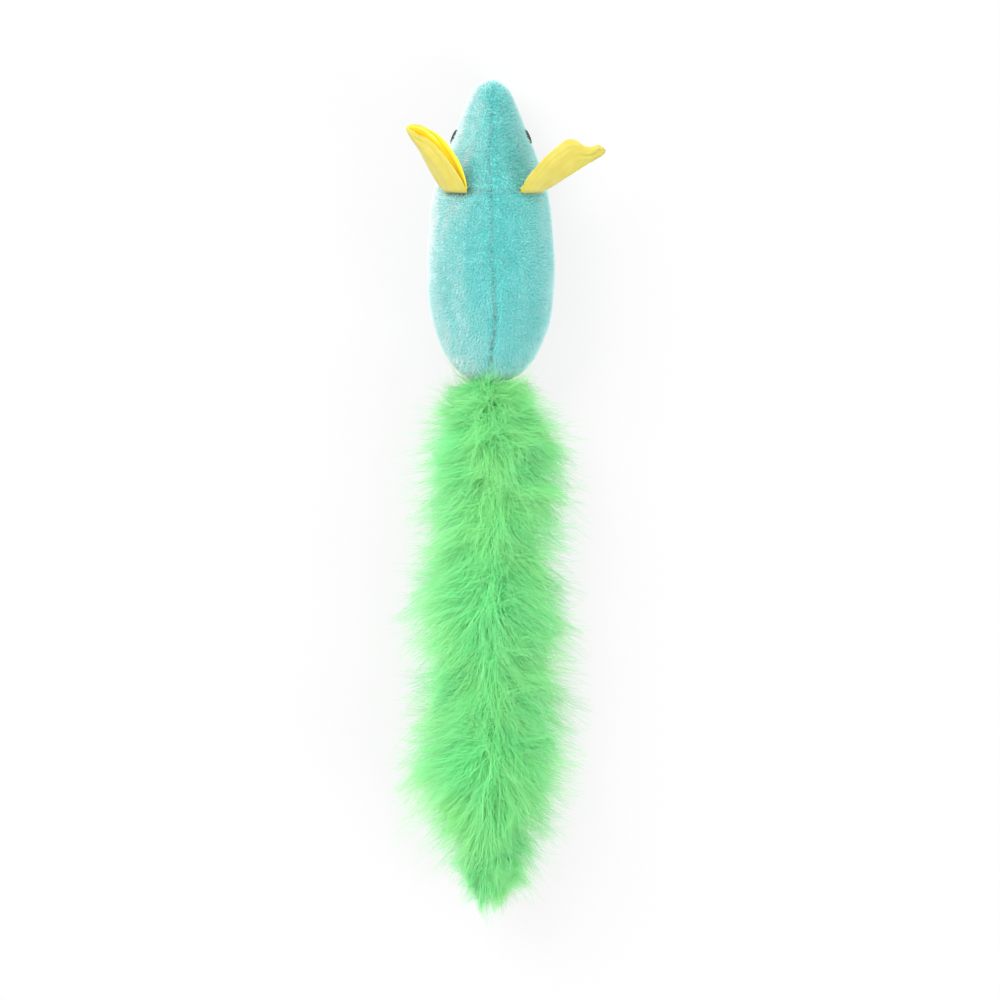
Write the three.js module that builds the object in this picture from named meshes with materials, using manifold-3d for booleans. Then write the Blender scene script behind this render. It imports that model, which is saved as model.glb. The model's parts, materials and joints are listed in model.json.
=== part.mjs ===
// Catnip mouse: a stuffed plush body with cupped satin ears and a feather tail.
// Millimetres, +Z up, nose toward -Y, origin on the floor under the middle of the belly.
import * as THREE from "three";
import { mergeVertices } from "three/addons/utils/BufferGeometryUtils.js";
import Module from "manifold-3d";

const wasm = await Module();
wasm.setup();

// Driving dimensions of the body
const bodyLength = 96.6; // nose to rump
const bodyWidth = 41;
const bodyHeight = 37; // belly to back
const noseReach = 60.2; // from the origin forward to the nose
const restingCut = 0.5; // how deep the belly is flattened where it rests
const seamDip = 0.9; // depth of the valley that the back seam pulls in
const dartDip = 0.6; // depth of the valley across the nape

// Cloth, stitching and clearances
const plushThickness = 1.5;
const seamAllowance = 4; // cloth turned in at every seam
const seatGap = 0.3; // between pieces that touch
const threadRadius = 0.3;
const stitchPitch = 2.4; // of the hand-closed stretch
const stitchReach = 1.1; // sideways reach of one ladder stitch
const overrun = 6; // how far a cutting shape runs past what it cuts

// Herb pouch
const pouchLength = 30;
const pouchWidth = 18;
const pouchHeight = 13;
const pouchCloth = 0.6;
const pouchRim = 2; // sewn edge around the pouch
const pouchToKnot = 3.6; // stuffing between the pouch and the tail's knot
const slitWidth = 1.6; // the fibre is parted this wide where the pouch went in

// Eyes
const eyeDiameter = 5;
const eyeHeight = 1;
const eyeRim = 0.4; // thickness of the disc's edge

// Ears
const earLength = 26; // keel of the folded leaf, root to tip
const earHalfWidth = 9.4; // keel to rim at the widest
const earClimb = 30; // degrees of the keel above level
const earCloth = 0.8; // two layers of satin
const earRootLift = 1.9; // hinge line above the plush
const earRootDrop = 0.6; // the leaf reaches this far under its hinge line
const earTabDepth = 4.5; // the part caught in the dart
const earTabThickness = 1.4;

// Tail
const cordRadius = 1.5;
const tailHeight = 18; // core above the floor
const tailRadius = 20; // fluff around the core
const plumePitch = 33; // between the bends of the tail
const plumeCount = 5;
const rootStandoff = 3; // first bend behind the rump
const plumeClearance = 0.6; // between one plume's skirt and the next plume's dome
const tailBend = 36; // degrees each way between two plumes
const bendSlack = 2; // degrees that the cord's funnel is wider than its bend
const rootFlare = 58; // degrees, half angle of the first plume's front
const skirtSetback = 10; // from a plume's rear edge back to the next bend
const knotRadius = 3;
const endKnotRadius = 2.2;
const endKnotInset = 7; // from the tail's tip to the end knot's middle

const halfGap = seatGap / 2;
const rumpReach = bodyLength - noseReach;
const tailLength = rootStandoff + plumeCount * plumePitch;
const degrees = Math.PI / 180;

// Swell of the body: share of the length, then of the half width, back and belly as shares of the height
const bodySwellShares = [
  [0, 0, 0.27, 0.27],
  [0.008, 0.14, 0.34, 0.2],
  [0.03, 0.275, 0.41, 0.14],
  [0.1, 0.44, 0.52, 0.045],
  [0.22, 0.665, 0.71, 0.005],
  [0.37, 0.895, 0.875, 0],
  [0.5, 0.965, 0.96, 0],
  [0.64, 1, 1, 0],
  [0.78, 0.935, 0.95, 0],
  [0.88, 0.78, 0.85, 0.04],
  [0.95, 0.56, 0.725, 0.15],
  [0.988, 0.27, 0.6, 0.34],
  [1, 0, 0.4935, 0.4935],
];
const widestShare = 0.48; // height of the widest line, between belly and back
const bellyFullness = 2.5; // superellipse power of the lower half
const backFullness = 2;
const ringPower = 1.25; // crowds a ring's points toward the back seam
const fineSteps = 12; // ring points from the back seam to the belly, on the skin
const plainSteps = 8; // and on what lies under it
const tipSpans = 3; // spans of the swell near each tip that get no ring between their ends
const dartShare = 0.367; // place of the nape dart along the body
const dartSpreadShare = 0.012; // half the valley's width along the body
const dartEndShare = 0.36; // how far round the body the valley runs, as a share of a half ring

const swellPlan = new THREE.CatmullRomCurve3(
  bodySwellShares.map(([along, wide]) => new THREE.Vector3(along, wide, 0)), false, "catmullrom",
);
const swellSide = new THREE.CatmullRomCurve3(
  bodySwellShares.map(([along, , back, belly]) => new THREE.Vector3(along, back, belly)), false, "catmullrom",
);

// The curve parameter at which the swell reaches a share of the length
function swellParameter(alongShare) {
  let low = 0;
  let high = 1;
  while (high - low > 1e-6) {
    const middle = (low + high) / 2;
    if (swellPlan.getPoint(middle).x < alongShare) low = middle;
    else high = middle;
  }
  return low;
}

// A point of the body's surface, drawn in by an inset: turn is 0 at the back seam, 1 under the belly
function bodyPoint(parameter, turn, inset = 0) {
  const plan = swellPlan.getPoint(parameter);
  const side = swellSide.getPoint(parameter);
  const height = bodyHeight + restingCut - 2 * inset;
  const bottom = inset - restingCut;
  const back = bottom + height * side.y;
  const belly = bottom + height * side.z;
  const widest = belly + (back - belly) * widestShare;
  const angle = turn * Math.PI;
  const upper = Math.cos(angle) > 0;
  const power = 2 / (upper ? backFullness : bellyFullness);
  const sideways = Math.sign(Math.sin(angle)) * Math.abs(Math.sin(angle)) ** power;
  const upright = Math.abs(Math.cos(angle)) ** power;
  const level = upper ? widest + (back - widest) * upright : widest - (widest - belly) * upright;
  return new THREE.Vector3(
    (bodyWidth / 2 - inset) * plan.y * sideways,
    inset - noseReach + (bodyLength - 2 * inset) * plan.x,
    level,
  );
}

// Turns of a ring's points, from the back seam round the left side to the belly and on round the right
function ringTurns(steps) {
  const left = [];
  for (let i = 0; i <= steps; i++) left.push((i / steps) ** ringPower);
  const right = left.slice(1, -1).map((turn) => -turn).reverse();
  return left.concat(right);
}

// Parameters of the rings, with three at the nape dart
function ringParameters(fine) {
  const spans = bodySwellShares.length - 1;
  const dart = [-1, 0, 1].map((side) => swellParameter(dartShare + side * dartSpreadShare));
  const plain = [];
  for (let i = 0; i < spans; i++) {
    if (i) plain.push(i / spans);
    if (fine && i >= tipSpans && i < spans - tipSpans) plain.push((i + 0.5) / spans);
  }
  if (!fine) return plain;
  const nearest = 1 / (8 * spans);
  const clear = plain.filter((p) => p < dart[0] - nearest || p > dart[2] + nearest);
  return clear.concat(dart).sort((a, b) => a - b);
}

// A closed skin through rings of points, with a tip at each end
function skin(rings, firstTip, lastTip) {
  const around = rings[0].length;
  const points = [firstTip, ...rings.flat(), lastTip];
  const index = [];
  const at = (ring, i) => 1 + ring * around + (i % around);
  for (let i = 0; i < around; i++) {
    index.push(0, at(0, i + 1), at(0, i));
    for (let ring = 0; ring + 1 < rings.length; ring++) {
      index.push(at(ring, i), at(ring + 1, i + 1), at(ring + 1, i));
      index.push(at(ring, i), at(ring, i + 1), at(ring + 1, i + 1));
    }
    index.push(points.length - 1, at(rings.length - 1, i), at(rings.length - 1, i + 1));
  }
  const geometry = new THREE.BufferGeometry().setFromPoints(points);
  geometry.setIndex(index);
  return geometry;
}

// A three.js geometry as a solid that can be joined and cut
function solid(geometry) {
  const bare = new THREE.BufferGeometry().setAttribute("position", geometry.getAttribute("position"));
  if (geometry.index) bare.setIndex(geometry.index);
  const merged = mergeVertices(bare, 1e-4);
  const made = new wasm.Manifold(new wasm.Mesh({
    numProp: 3,
    vertProperties: new Float32Array(merged.attributes.position.array),
    triVerts: new Uint32Array(merged.index.array),
  }));
  return made;
}

// The body as a solid, drawn in by an inset
function bodySolid(inset, fine = true) {
  const turns = ringTurns(fine ? fineSteps : plainSteps);
  const rings = ringParameters(fine).map((parameter) => {
    const share = swellPlan.getPoint(parameter);
    const inDart = Math.abs(share.x - dartShare) < dartSpreadShare / 2;
    return turns.map((turn) => {
      const point = bodyPoint(parameter, turn, inset);
      if (turn === 0) point.z -= seamDip * share.y;
      if (inDart && turn !== 0 && Math.abs(turn) < dartEndShare) point.z -= dartDip;
      return point;
    });
  });
  return solid(skin(rings, bodyPoint(0, 0, inset), bodyPoint(1, 0, inset)));
}

// A box between two corners
function block(low, high) {
  const size = new THREE.Vector3().subVectors(high, low);
  const geometry = new THREE.BoxGeometry(size.x, size.y, size.z);
  geometry.translate(low.x + size.x / 2, low.y + size.y / 2, low.z + size.z / 2);
  return solid(geometry);
}

// A slab across the whole body between two values of X
function slab(lowX, highX) {
  const low = new THREE.Vector3(lowX, -noseReach - overrun, -overrun);
  const high = new THREE.Vector3(highX, rumpReach + overrun, bodyHeight + overrun);
  return block(low, high);
}

// Belly seam seen from the side: it leaves the nose, runs low along the flank and climbs to the rump
const seamLowShare = 0.1; // of the body's height
const seamFrontShare = 0.17; // of the body's length, in which the seam comes down from the nose
const seamRearShare = 0.2; // and in which it climbs to the rump
const seamSpans = 14;
const noseHeight = bodyPoint(0, 0).z;
const rumpHeight = bodyPoint(1, 0).z;
const bellySeam = new THREE.CubicBezierCurve(
  new THREE.Vector2(-noseReach, noseHeight),
  new THREE.Vector2(-noseReach + bodyLength * seamFrontShare, bodyHeight * seamLowShare),
  new THREE.Vector2(rumpReach - bodyLength * seamRearShare, bodyHeight * seamLowShare),
  new THREE.Vector2(rumpReach, rumpHeight),
);

// Everything under the belly seam, with the seam raised by an offset
function underSeam(raise) {
  const line = bellySeam.getPoints(seamSpans);
  const outline = [
    new THREE.Vector2(-noseReach - overrun, -overrun),
    new THREE.Vector2(rumpReach + overrun, -overrun),
    new THREE.Vector2(rumpReach + overrun, rumpHeight + raise),
    ...line.reverse().map((point) => new THREE.Vector2(point.x, point.y + raise)),
    new THREE.Vector2(-noseReach - overrun, noseHeight + raise),
  ];
  const depth = bodyWidth + 2 * overrun;
  const geometry = new THREE.ExtrudeGeometry(new THREE.Shape(outline), { depth, bevelEnabled: false });
  const sideways = new THREE.Matrix4().makeBasis(
    new THREE.Vector3(0, 1, 0), new THREE.Vector3(0, 0, 1), new THREE.Vector3(1, 0, 0),
  );
  geometry.applyMatrix4(sideways).translate(-depth / 2, 0, 0);
  return solid(geometry);
}

// A tube along a path
function tube(path, radius, steps) {
  const section = new THREE.Shape().absarc(0, 0, radius, 0, 2 * Math.PI);
  return solid(new THREE.ExtrudeGeometry(section, {
    steps, bevelEnabled: false, extrudePath: path, curveSegments: 3,
  }));
}

// A round solid about the tail's axis: profile points are radius and distance behind a place on that axis
function turned(profile, behind, segments) {
  const geometry = new THREE.LatheGeometry(profile, segments);
  geometry.translate(0, behind, tailHeight);
  return solid(geometry);
}

function ball(centre, radius) {
  const geometry = new THREE.SphereGeometry(radius, 12, 7);
  geometry.translate(centre.x, centre.y, centre.z);
  return solid(geometry);
}

// Materials
function cloth(color, roughness) {
  return new THREE.MeshStandardMaterial({ color, roughness, metalness: 0 });
}
const finishes = {
  plush: cloth(0x6fd2cb, 0.95),
  satin: cloth(0xf2dd55, 0.45),
  eye: cloth(0x0b0c0c, 0.3),
  thread: cloth(0x4fb5ad, 0.7),
  fibre: cloth(0xf4f4f0, 1),
  pouch: cloth(0xe9e4d6, 0.9),
  herb: cloth(0x6f7d3c, 1),
  fluff: cloth(0x7fee86, 1),
  cord: cloth(0x58c765, 0.9),
};

const mouse = new THREE.Group();

// One named piece of the mouse, in a place of its own if it has one
function addPiece(name, made, material, at = new THREE.Vector3()) {
  const held = made.getMesh();
  const geometry = new THREE.BufferGeometry();
  geometry.setAttribute("position", new THREE.BufferAttribute(new Float32Array(held.vertProperties), 3));
  geometry.setIndex(new THREE.BufferAttribute(new Uint32Array(held.triVerts), 1));
  geometry.translate(-at.x, -at.y, -at.z);
  geometry.computeVertexNormals();
  const mesh = new THREE.Mesh(geometry, material);
  mesh.name = name;
  mesh.position.copy(at);
  mouse.add(mesh);
}

// Tail root: a knotted cord that leaves through the seam at the rump
const firstBend = rumpReach + rootStandoff;
const bendGap = cordRadius + seatGap; // from a bend's centre to the next length of cord
const knotCentre = new THREE.Vector3(
  0, rumpReach - plushThickness - seamAllowance - seatGap - knotRadius, tailHeight,
);
const cordPassage = turned([
  new THREE.Vector2(0, 0),
  new THREE.Vector2(cordRadius + seatGap, 0),
  new THREE.Vector2(cordRadius + seatGap, rumpReach - knotCentre.y + overrun),
  new THREE.Vector2(0, rumpReach - knotCentre.y + overrun),
], knotCentre.y, 12);

function rootCord() {
  const start = knotCentre.y + knotRadius + seatGap;
  const length = firstBend - bendGap - start;
  return turned([
    new THREE.Vector2(0, 0),
    new THREE.Vector2(cordRadius, 0),
    new THREE.Vector2(cordRadius, length),
    new THREE.Vector2(0, length),
  ], start, 12);
}

// Ears: each is a satin leaf folded along a keel, one half above the other, with its root in the dart.
// Rim points are shares: of the keel's length along it, and of the half width away from it and up.
const ears = {
  left: {
    side: 1,
    rootInnerTurn: 0.14,
    rootOuterTurn: 0.33,
    heading: 62, // degrees of the keel forward from straight out to the side
    upperRimShares: [
      [0.22, 0.58, 0.8], [0.42, 0.61, 0.74], [0.62, 0.61, 0.66], [0.75, 0.49, 0.5], [0.85, 0.26, 0.26],
      [1, 0.05, 0.03],
    ],
    lowerRimShares: [
      [0.04, 0.8, 0.6], [0.2, 0.89, 0.35], [0.36, 0.91, 0.2], [0.52, 0.85, 0.1], [0.68, 0.7, 0.05],
      [0.85, 0.44, 0], [1.01, 0.12, 0],
    ],
  },
  right: {
    side: -1,
    rootInnerTurn: 0.15,
    rootOuterTurn: 0.38,
    heading: 31,
    upperRimShares: [
      [0.07, 0.6, 1.02], [0.28, 0.75, 0.9], [0.52, 0.95, 0.74], [0.66, 1.07, 0.62], [0.76, 1, 0.5],
      [0.85, 0.5, 0.26], [0.94, 0.36, 0.14], [1, 0.1, 0.03],
    ],
    lowerRimShares: [
      [0.1, 0.6, 0.5], [0.25, 0.72, 0.12], [0.42, 0.8, -0.12], [0.58, 0.8, -0.26], [0.72, 0.68, -0.28],
      [0.86, 0.42, -0.18], [1, 0.14, 0],
    ],
  },
};
const earStations = 12;
const earFacets = 4; // from the keel to a rim
const earBowShare = 0.12; // how far a half bows away from flat

// Frame of one ear: its root line above the dart, and the directions of its keel
function earFrame(ear) {
  const dart = swellParameter(dartShare);
  const inner = bodyPoint(dart, ear.rootInnerTurn * ear.side);
  const outer = bodyPoint(dart, ear.rootOuterTurn * ear.side);
  const middle = bodyPoint(dart, ear.side * (ear.rootInnerTurn + ear.rootOuterTurn) / 2);
  const line = new THREE.Vector3().subVectors(outer, inner);
  const width = line.length();
  line.normalize();
  const forward = new THREE.Vector3(0, -1, 0);
  const up = new THREE.Vector3().crossVectors(forward, line).multiplyScalar(ear.side);
  const bow = new THREE.Vector3().subVectors(middle, inner).dot(up);
  const root = inner.clone().addScaledVector(up, bow + earRootLift);
  const heading = ear.heading * degrees;
  const climb = earClimb * degrees;
  const keel = new THREE.Vector3(
    ear.side * Math.cos(heading) * Math.cos(climb), -Math.sin(heading) * Math.cos(climb), Math.sin(climb),
  );
  const lift = new THREE.Vector3(0, 0, 1).addScaledVector(keel, -keel.z).normalize();
  const open = new THREE.Vector3().crossVectors(lift, keel).multiplyScalar(-ear.side);
  return { root, line, width, forward, up, keel, lift, open };
}

// One rim of an ear's leaf, from its root to the tip; which is 1 for the upper half and -1 for the lower
function earRim(frame, shares, which) {
  const { root, line, width, forward, up, keel, lift, open } = frame;
  const foldGap = (earCloth + seatGap) / 2;
  const start = root.clone().addScaledVector(up, -earRootDrop).addScaledVector(forward, -which * foldGap);
  const heel = root.clone().addScaledVector(line, width);
  const points = shares.map(([along, away, above]) => heel.clone()
    .addScaledVector(keel, earLength * along)
    .addScaledVector(open, earHalfWidth * away)
    .addScaledVector(lift, earHalfWidth * above));
  return new THREE.CatmullRomCurve3([start, ...points]);
}

// A closed leaf of even thickness about a grid of points
function leaf(grid, thickness) {
  const rows = grid.length;
  const columns = grid[0].length;
  const edge = (a, b) => new THREE.Vector3().subVectors(b, a);
  const faces = [1, -1].map((face) => grid.map((row, i) => row.map((point, j) => {
    const along = edge(grid[Math.max(i - 1, 0)][j], grid[Math.min(i + 1, rows - 1)][j]);
    const across = edge(row[Math.max(j - 1, 0)], row[Math.min(j + 1, columns - 1)]);
    const normal = new THREE.Vector3().crossVectors(along, across).normalize();
    return point.clone().addScaledVector(normal, face * thickness / 2);
  })));
  const points = faces.flat(2);
  const at = (face, i, j) => face * rows * columns + i * columns + j;
  const index = [];
  const quad = (a, b, c, d) => index.push(a, b, c, a, c, d);
  for (let i = 0; i + 1 < rows; i++) {
    for (let j = 0; j + 1 < columns; j++) {
      quad(at(0, i, j), at(0, i + 1, j), at(0, i + 1, j + 1), at(0, i, j + 1));
      quad(at(1, i, j), at(1, i, j + 1), at(1, i + 1, j + 1), at(1, i + 1, j));
    }
    quad(at(0, i, 0), at(1, i, 0), at(1, i + 1, 0), at(0, i + 1, 0));
    const last = columns - 1;
    quad(at(0, i, last), at(0, i + 1, last), at(1, i + 1, last), at(1, i, last));
  }
  for (let j = 0; j + 1 < columns; j++) {
    quad(at(0, 0, j), at(0, 0, j + 1), at(1, 0, j + 1), at(1, 0, j));
    quad(at(0, rows - 1, j), at(1, rows - 1, j), at(1, rows - 1, j + 1), at(0, rows - 1, j + 1));
  }
  const geometry = new THREE.BufferGeometry().setFromPoints(points);
  geometry.setIndex(index);
  return solid(geometry);
}

function earLeaf(ear, frame) {
  const { root, line, width, up, keel } = frame;
  const upper = earRim(frame, ear.upperRimShares, 1);
  const lower = earRim(frame, ear.lowerRimShares, -1);
  const heel = root.clone().addScaledVector(line, width).addScaledVector(up, -earRootDrop);
  const tip = root.clone().addScaledVector(line, width).addScaledVector(keel, earLength);
  const grid = [];
  for (let i = 0; i <= earStations; i++) {
    const share = i / earStations;
    const rims = [upper.getPoint(share), lower.getPoint(share)];
    const fold = heel.clone().lerp(tip, share);
    const spread = new THREE.Vector3().addVectors(rims[0], rims[1]).multiplyScalar(0.5).sub(fold);
    const halves = rims.map((rim) => {
      const chord = new THREE.Vector3().subVectors(rim, fold);
      const outward = chord.clone().sub(spread).normalize();
      return rim.clone().add(fold).multiplyScalar(0.5).addScaledVector(outward, chord.length() * earBowShare);
    });
    const section = new THREE.CatmullRomCurve3([rims[0], halves[0], fold, halves[1], rims[1]]);
    const row = [];
    for (let j = 0; j <= 2 * earFacets; j++) row.push(section.getPoint(j / (2 * earFacets)));
    grid.push(ear.side > 0 ? row : row.reverse());
  }
  return leaf(grid, earCloth);
}

// The root of an ear as a tab that stands in the dart, grown by a clearance
function earTab(frame, clearance = 0) {
  const { root, line, width, forward, up } = frame;
  const reach = Math.hypot(earCloth + seatGap / 2, earRootDrop);
  const top = -reach - seatGap + clearance;
  const bottom = -earRootLift - earTabDepth - clearance;
  const thickness = earTabThickness + 2 * clearance;
  const geometry = new THREE.BoxGeometry(width + 2 * clearance, thickness, top - bottom);
  const centre = root.clone().addScaledVector(line, width / 2).addScaledVector(up, (top + bottom) / 2);
  const across = new THREE.Vector3().crossVectors(up, line);
  geometry.applyMatrix4(new THREE.Matrix4().makeBasis(line, across, up)).translate(...centre);
  return solid(geometry);
}

// Plush skin: an outer shell of cloth with its seam allowances turned in
const outerBody = bodySolid(0);
const shell = outerBody.subtract(bodySolid(plushThickness));
const allowanceBand = bodySolid(plushThickness / 5, false)
  .subtract(bodySolid(plushThickness + seamAllowance, false));
const onFloor = block(
  new THREE.Vector3(-bodyWidth, -noseReach - overrun, 0),
  new THREE.Vector3(bodyWidth, rumpReach + overrun, bodyHeight + overrun),
);
const bellySide = underSeam(-halfGap);
const flankSide = underSeam(halfGap);

// Points along a seam at a depth under the plush, between two shares of the body's length
function seamPath(turnAt, depth, firstShare, lastShare, count) {
  const points = [];
  for (let i = 0; i <= count; i++) {
    const along = firstShare + (lastShare - firstShare) * (i / count);
    const parameter = swellParameter(along);
    points.push(bodyPoint(parameter, turnAt(parameter, depth), depth));
  }
  return points;
}

// How far round the ring the belly seam lies at a place along the body, at a depth under the plush
const bellySeamPoints = bellySeam.getPoints(200);
function bellySeamTurn(parameter, depth) {
  const place = bodyPoint(parameter, 0, depth).y;
  const nearest = bellySeamPoints.reduce((best, point) =>
    (Math.abs(point.x - place) < Math.abs(best.x - place) ? point : best));
  let low = 0;
  let high = 1;
  while (high - low > 1e-4) {
    const middle = (low + high) / 2;
    if (bodyPoint(parameter, middle, depth).z > nearest.y) low = middle;
    else high = middle;
  }
  return low;
}

const closedFromShare = 0.73; // the hand-closed stretch of the back seam, along the body
const closedToShare = 0.94;
const seamStartShare = 0.08;
const seamEndShare = 0.93;
const threadDepth = plushThickness + seamAllowance / 2;
const backSeamLine = seamPath(() => 0, threadDepth, seamStartShare, closedFromShare, 12);
const flankSeamLine = seamPath(bellySeamTurn, threadDepth, seamStartShare, seamEndShare, 14);
const mirrored = (points) => points.map((point) => new THREE.Vector3(-point.x, point.y, point.z));

// The ladder stitches cross the back seam from side to side as they go back along it
function ladderLine() {
  const stretch = (closedToShare - closedFromShare) * bodyLength;
  const count = Math.round(stretch / stitchPitch);
  const depth = seamDip + threadRadius;
  return seamPath(() => 0, depth, closedFromShare + threadRadius / bodyLength, closedToShare, count)
    .map((point, i) => point.setX(stitchReach * (i % 2 ? 1 : -1)));
}
const ladderPoints = ladderLine();

// A thread, or the channel that it lies in
function thread(points, clearance = 0) {
  return tube(new THREE.CatmullRomCurve3(points), threadRadius + clearance, points.length * 2 - 2);
}
const threadLines = {
  back_seam_thread: backSeamLine,
  closing_thread: ladderPoints,
  belly_seam_thread_left: flankSeamLine,
  belly_seam_thread_right: mirrored(flankSeamLine),
};
const channels = Object.values(threadLines).map((points) => thread(points, seatGap));
const frames = { left: earFrame(ears.left), right: earFrame(ears.right) };
const earSlots = Object.values(frames).map((frame) => earTab(frame, seatGap));
const cutAway = [cordPassage, ...channels, ...earSlots];

function withCuts(made, cuts) {
  return cuts.reduce((left, cut) => left.subtract(cut), made);
}

function sidePanel(side) {
  const half = side > 0 ? slab(halfGap, bodyWidth) : slab(-bodyWidth, -halfGap);
  const reach = halfGap + plushThickness;
  const backFlange = allowanceBand.intersect(side > 0 ? slab(halfGap, reach) : slab(-reach, -halfGap));
  const flankFlange = allowanceBand.intersect(underSeam(halfGap + plushThickness)).intersect(half);
  const whole = shell.intersect(half).add(backFlange).add(flankFlange).subtract(flankSide);
  return withCuts(whole, cutAway);
}

function bellyPanel() {
  const flange = allowanceBand.intersect(bellySide).subtract(underSeam(-halfGap - plushThickness));
  return withCuts(shell.intersect(bellySide).add(flange).intersect(onFloor), cutAway);
}

// Herb pouch: two dished cloths sewn round the rim, with the herb inside
const pouchHeightShare = 0.46; // height of its middle, of the body's height
const pouchCentre = new THREE.Vector3(
  0, knotCentre.y - knotRadius - pouchToKnot - pouchRim - pouchLength / 2, bodyHeight * pouchHeightShare,
);

function pouchShape(inset) {
  const geometry = new THREE.SphereGeometry(1, 18, 9);
  geometry.scale(pouchWidth / 2 - inset, pouchLength / 2 - inset, pouchHeight / 2 - inset);
  geometry.translate(...pouchCentre);
  return solid(geometry);
}

function pouchEdge(clearance) {
  const geometry = new THREE.CylinderGeometry(1, 1, 1, 24);
  geometry.rotateX(Math.PI / 2);
  const reach = pouchRim + clearance;
  const thickness = 2 * (pouchCloth + halfGap + clearance);
  geometry.scale(pouchWidth / 2 + reach, pouchLength / 2 + reach, thickness);
  geometry.translate(...pouchCentre);
  return solid(geometry);
}

function pouchHalf(upper) {
  const cloths = pouchShape(0).add(pouchEdge(0)).subtract(pouchShape(pouchCloth));
  const reach = bodyWidth;
  const low = upper ? pouchCentre.z + halfGap : pouchCentre.z - bodyHeight;
  const high = upper ? pouchCentre.z + bodyHeight : pouchCentre.z - halfGap;
  const half = block(new THREE.Vector3(-reach, -reach, low), new THREE.Vector3(reach, bodyLength, high));
  return cloths.intersect(half);
}

// Stuffing: fills the skin, clear of the turned-in seams, and is parted where the pouch went in
function fibreFill() {
  const fill = bodySolid(plushThickness + seatGap, false);
  const flangeReach = halfGap + plushThickness + seatGap;
  const core = bodySolid(plushThickness + seamAllowance + seatGap, false);
  const backSlot = slab(-flangeReach, flangeReach).subtract(core).subtract(underSeam(0));
  const flankSlot = underSeam(flangeReach).subtract(underSeam(-flangeReach)).subtract(core);
  const pocket = pouchShape(-seatGap).add(pouchEdge(seatGap));
  const slit = block(
    new THREE.Vector3(-slitWidth / 2, pouchCentre.y, pouchCentre.z),
    new THREE.Vector3(slitWidth / 2, rumpReach - bodyLength * (1 - closedToShare), bodyHeight + overrun),
  );
  const knotSeat = ball(knotCentre, knotRadius + seatGap);
  return withCuts(fill, [backSlot, flankSlot, pocket, slit, knotSeat, ...earSlots, cordPassage]);
}

// Eyes: low domed discs on the sides of the head
const eyeShare = 0.178; // along the body
const eyeTurn = 0.455; // and round it
const eyeShoulderShare = 0.75; // of the radius, within which the dome levels off

function eye(side) {
  const parameter = swellParameter(eyeShare);
  const step = 0.01;
  const turn = eyeTurn * side;
  const along = bodyPoint(parameter + step, turn).sub(bodyPoint(parameter - step, turn));
  const round = bodyPoint(parameter, turn + step).sub(bodyPoint(parameter, turn - step));
  const normal = new THREE.Vector3().crossVectors(round, along).normalize();
  const seat = bodyPoint(parameter, turn).addScaledVector(normal, seatGap);
  const radius = eyeDiameter / 2;
  const edge = new THREE.Vector2(radius, eyeRim);
  const profile = [new THREE.Vector2(0, 0), new THREE.Vector2(radius, 0), edge];
  const dome = new THREE.QuadraticBezierCurve(
    edge, new THREE.Vector2(radius * eyeShoulderShare, eyeHeight), new THREE.Vector2(0, eyeHeight),
  );
  const geometry = new THREE.LatheGeometry([...profile, ...dome.getPoints(3).slice(1)], 16);
  const upright = new THREE.Vector3(0, 1, 0);
  geometry.applyQuaternion(new THREE.Quaternion().setFromUnitVectors(upright, normal)).translate(...seat);
  return solid(geometry);
}

// Tail: lengths of core cord, each with its fluff, that bend at points a pitch apart.
// Each plume's front is a dome about its own bend, and sits in the hollow skirt of the plume before it.
const domeSizeShares = [0.93, 0.96, 1.05, 1.03, 1.04]; // of the tail's radius, from the root to the tip
const skirtSizeShares = [0.97, 1.04, 1.08, 1.1];
const coneShoulderShares = [[0.86, 0], [0.97, 0.06], [1, 0.16]]; // radius, and how far behind the cone
const fullestShare = 0.55; // of a pitch, from a bend back to the widest place of its plume
const tipSwellShares = [[0.14, 0.93], [0.32, 0.74], [0.6, 0.61], [0.76, 0.42], [0.93, 0.19]]; // along, radius
const crownWidthShare = 1.16; // half width of the sagging crown over the core, of the tail's radius
const crownHeightShare = 0.82; // and its height above the core
const boreRadius = cordRadius + seatGap;
const arcSteps = 5;

function arc(centreY, radius, fromAngle, toAngle) {
  const points = [];
  for (let i = 0; i <= arcSteps; i++) {
    const angle = fromAngle + (toAngle - fromAngle) * (i / arcSteps);
    points.push(new THREE.Vector2(radius * Math.sin(angle), centreY - radius * Math.cos(angle)));
  }
  return points;
}

// Front of a plume behind a bend: a funnel that the cord swings in, and a dome
function domeFront(radius) {
  const swing = (tailBend + bendSlack) * degrees;
  const mouth = Math.asin(boreRadius / radius);
  return [
    new THREE.Vector2(boreRadius, boreRadius * Math.tan(swing / 2)),
    ...arc(0, radius, swing + mouth, Math.PI / 2),
  ];
}

// Front of the first plume: a cone that leaves the rump room as the tail swings
function coneFront(radius) {
  const slope = 1 / Math.tan(rootFlare * degrees);
  return [
    new THREE.Vector2(boreRadius, boreRadius * slope),
    ...coneShoulderShares.map(([out, behind]) => (
      new THREE.Vector2(radius * out, radius * (out * slope + behind)))),
  ];
}

// What the sagging fluff fills above the floor: an oval tunnel over the core, with straight sides below it
function sagged() {
  const reach = tailRadius * crownWidthShare;
  const crown = new THREE.CylinderGeometry(1, 1, 1, 28);
  crown.scale(reach, tailLength + reach, tailRadius * crownHeightShare);
  crown.translate(0, firstBend + tailLength / 2, tailHeight);
  const below = block(
    new THREE.Vector3(-reach, rumpReach - reach, 0),
    new THREE.Vector3(reach, rumpReach + tailLength + reach, tailHeight),
  );
  return solid(crown).add(below);
}
const sagRoom = sagged();

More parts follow.
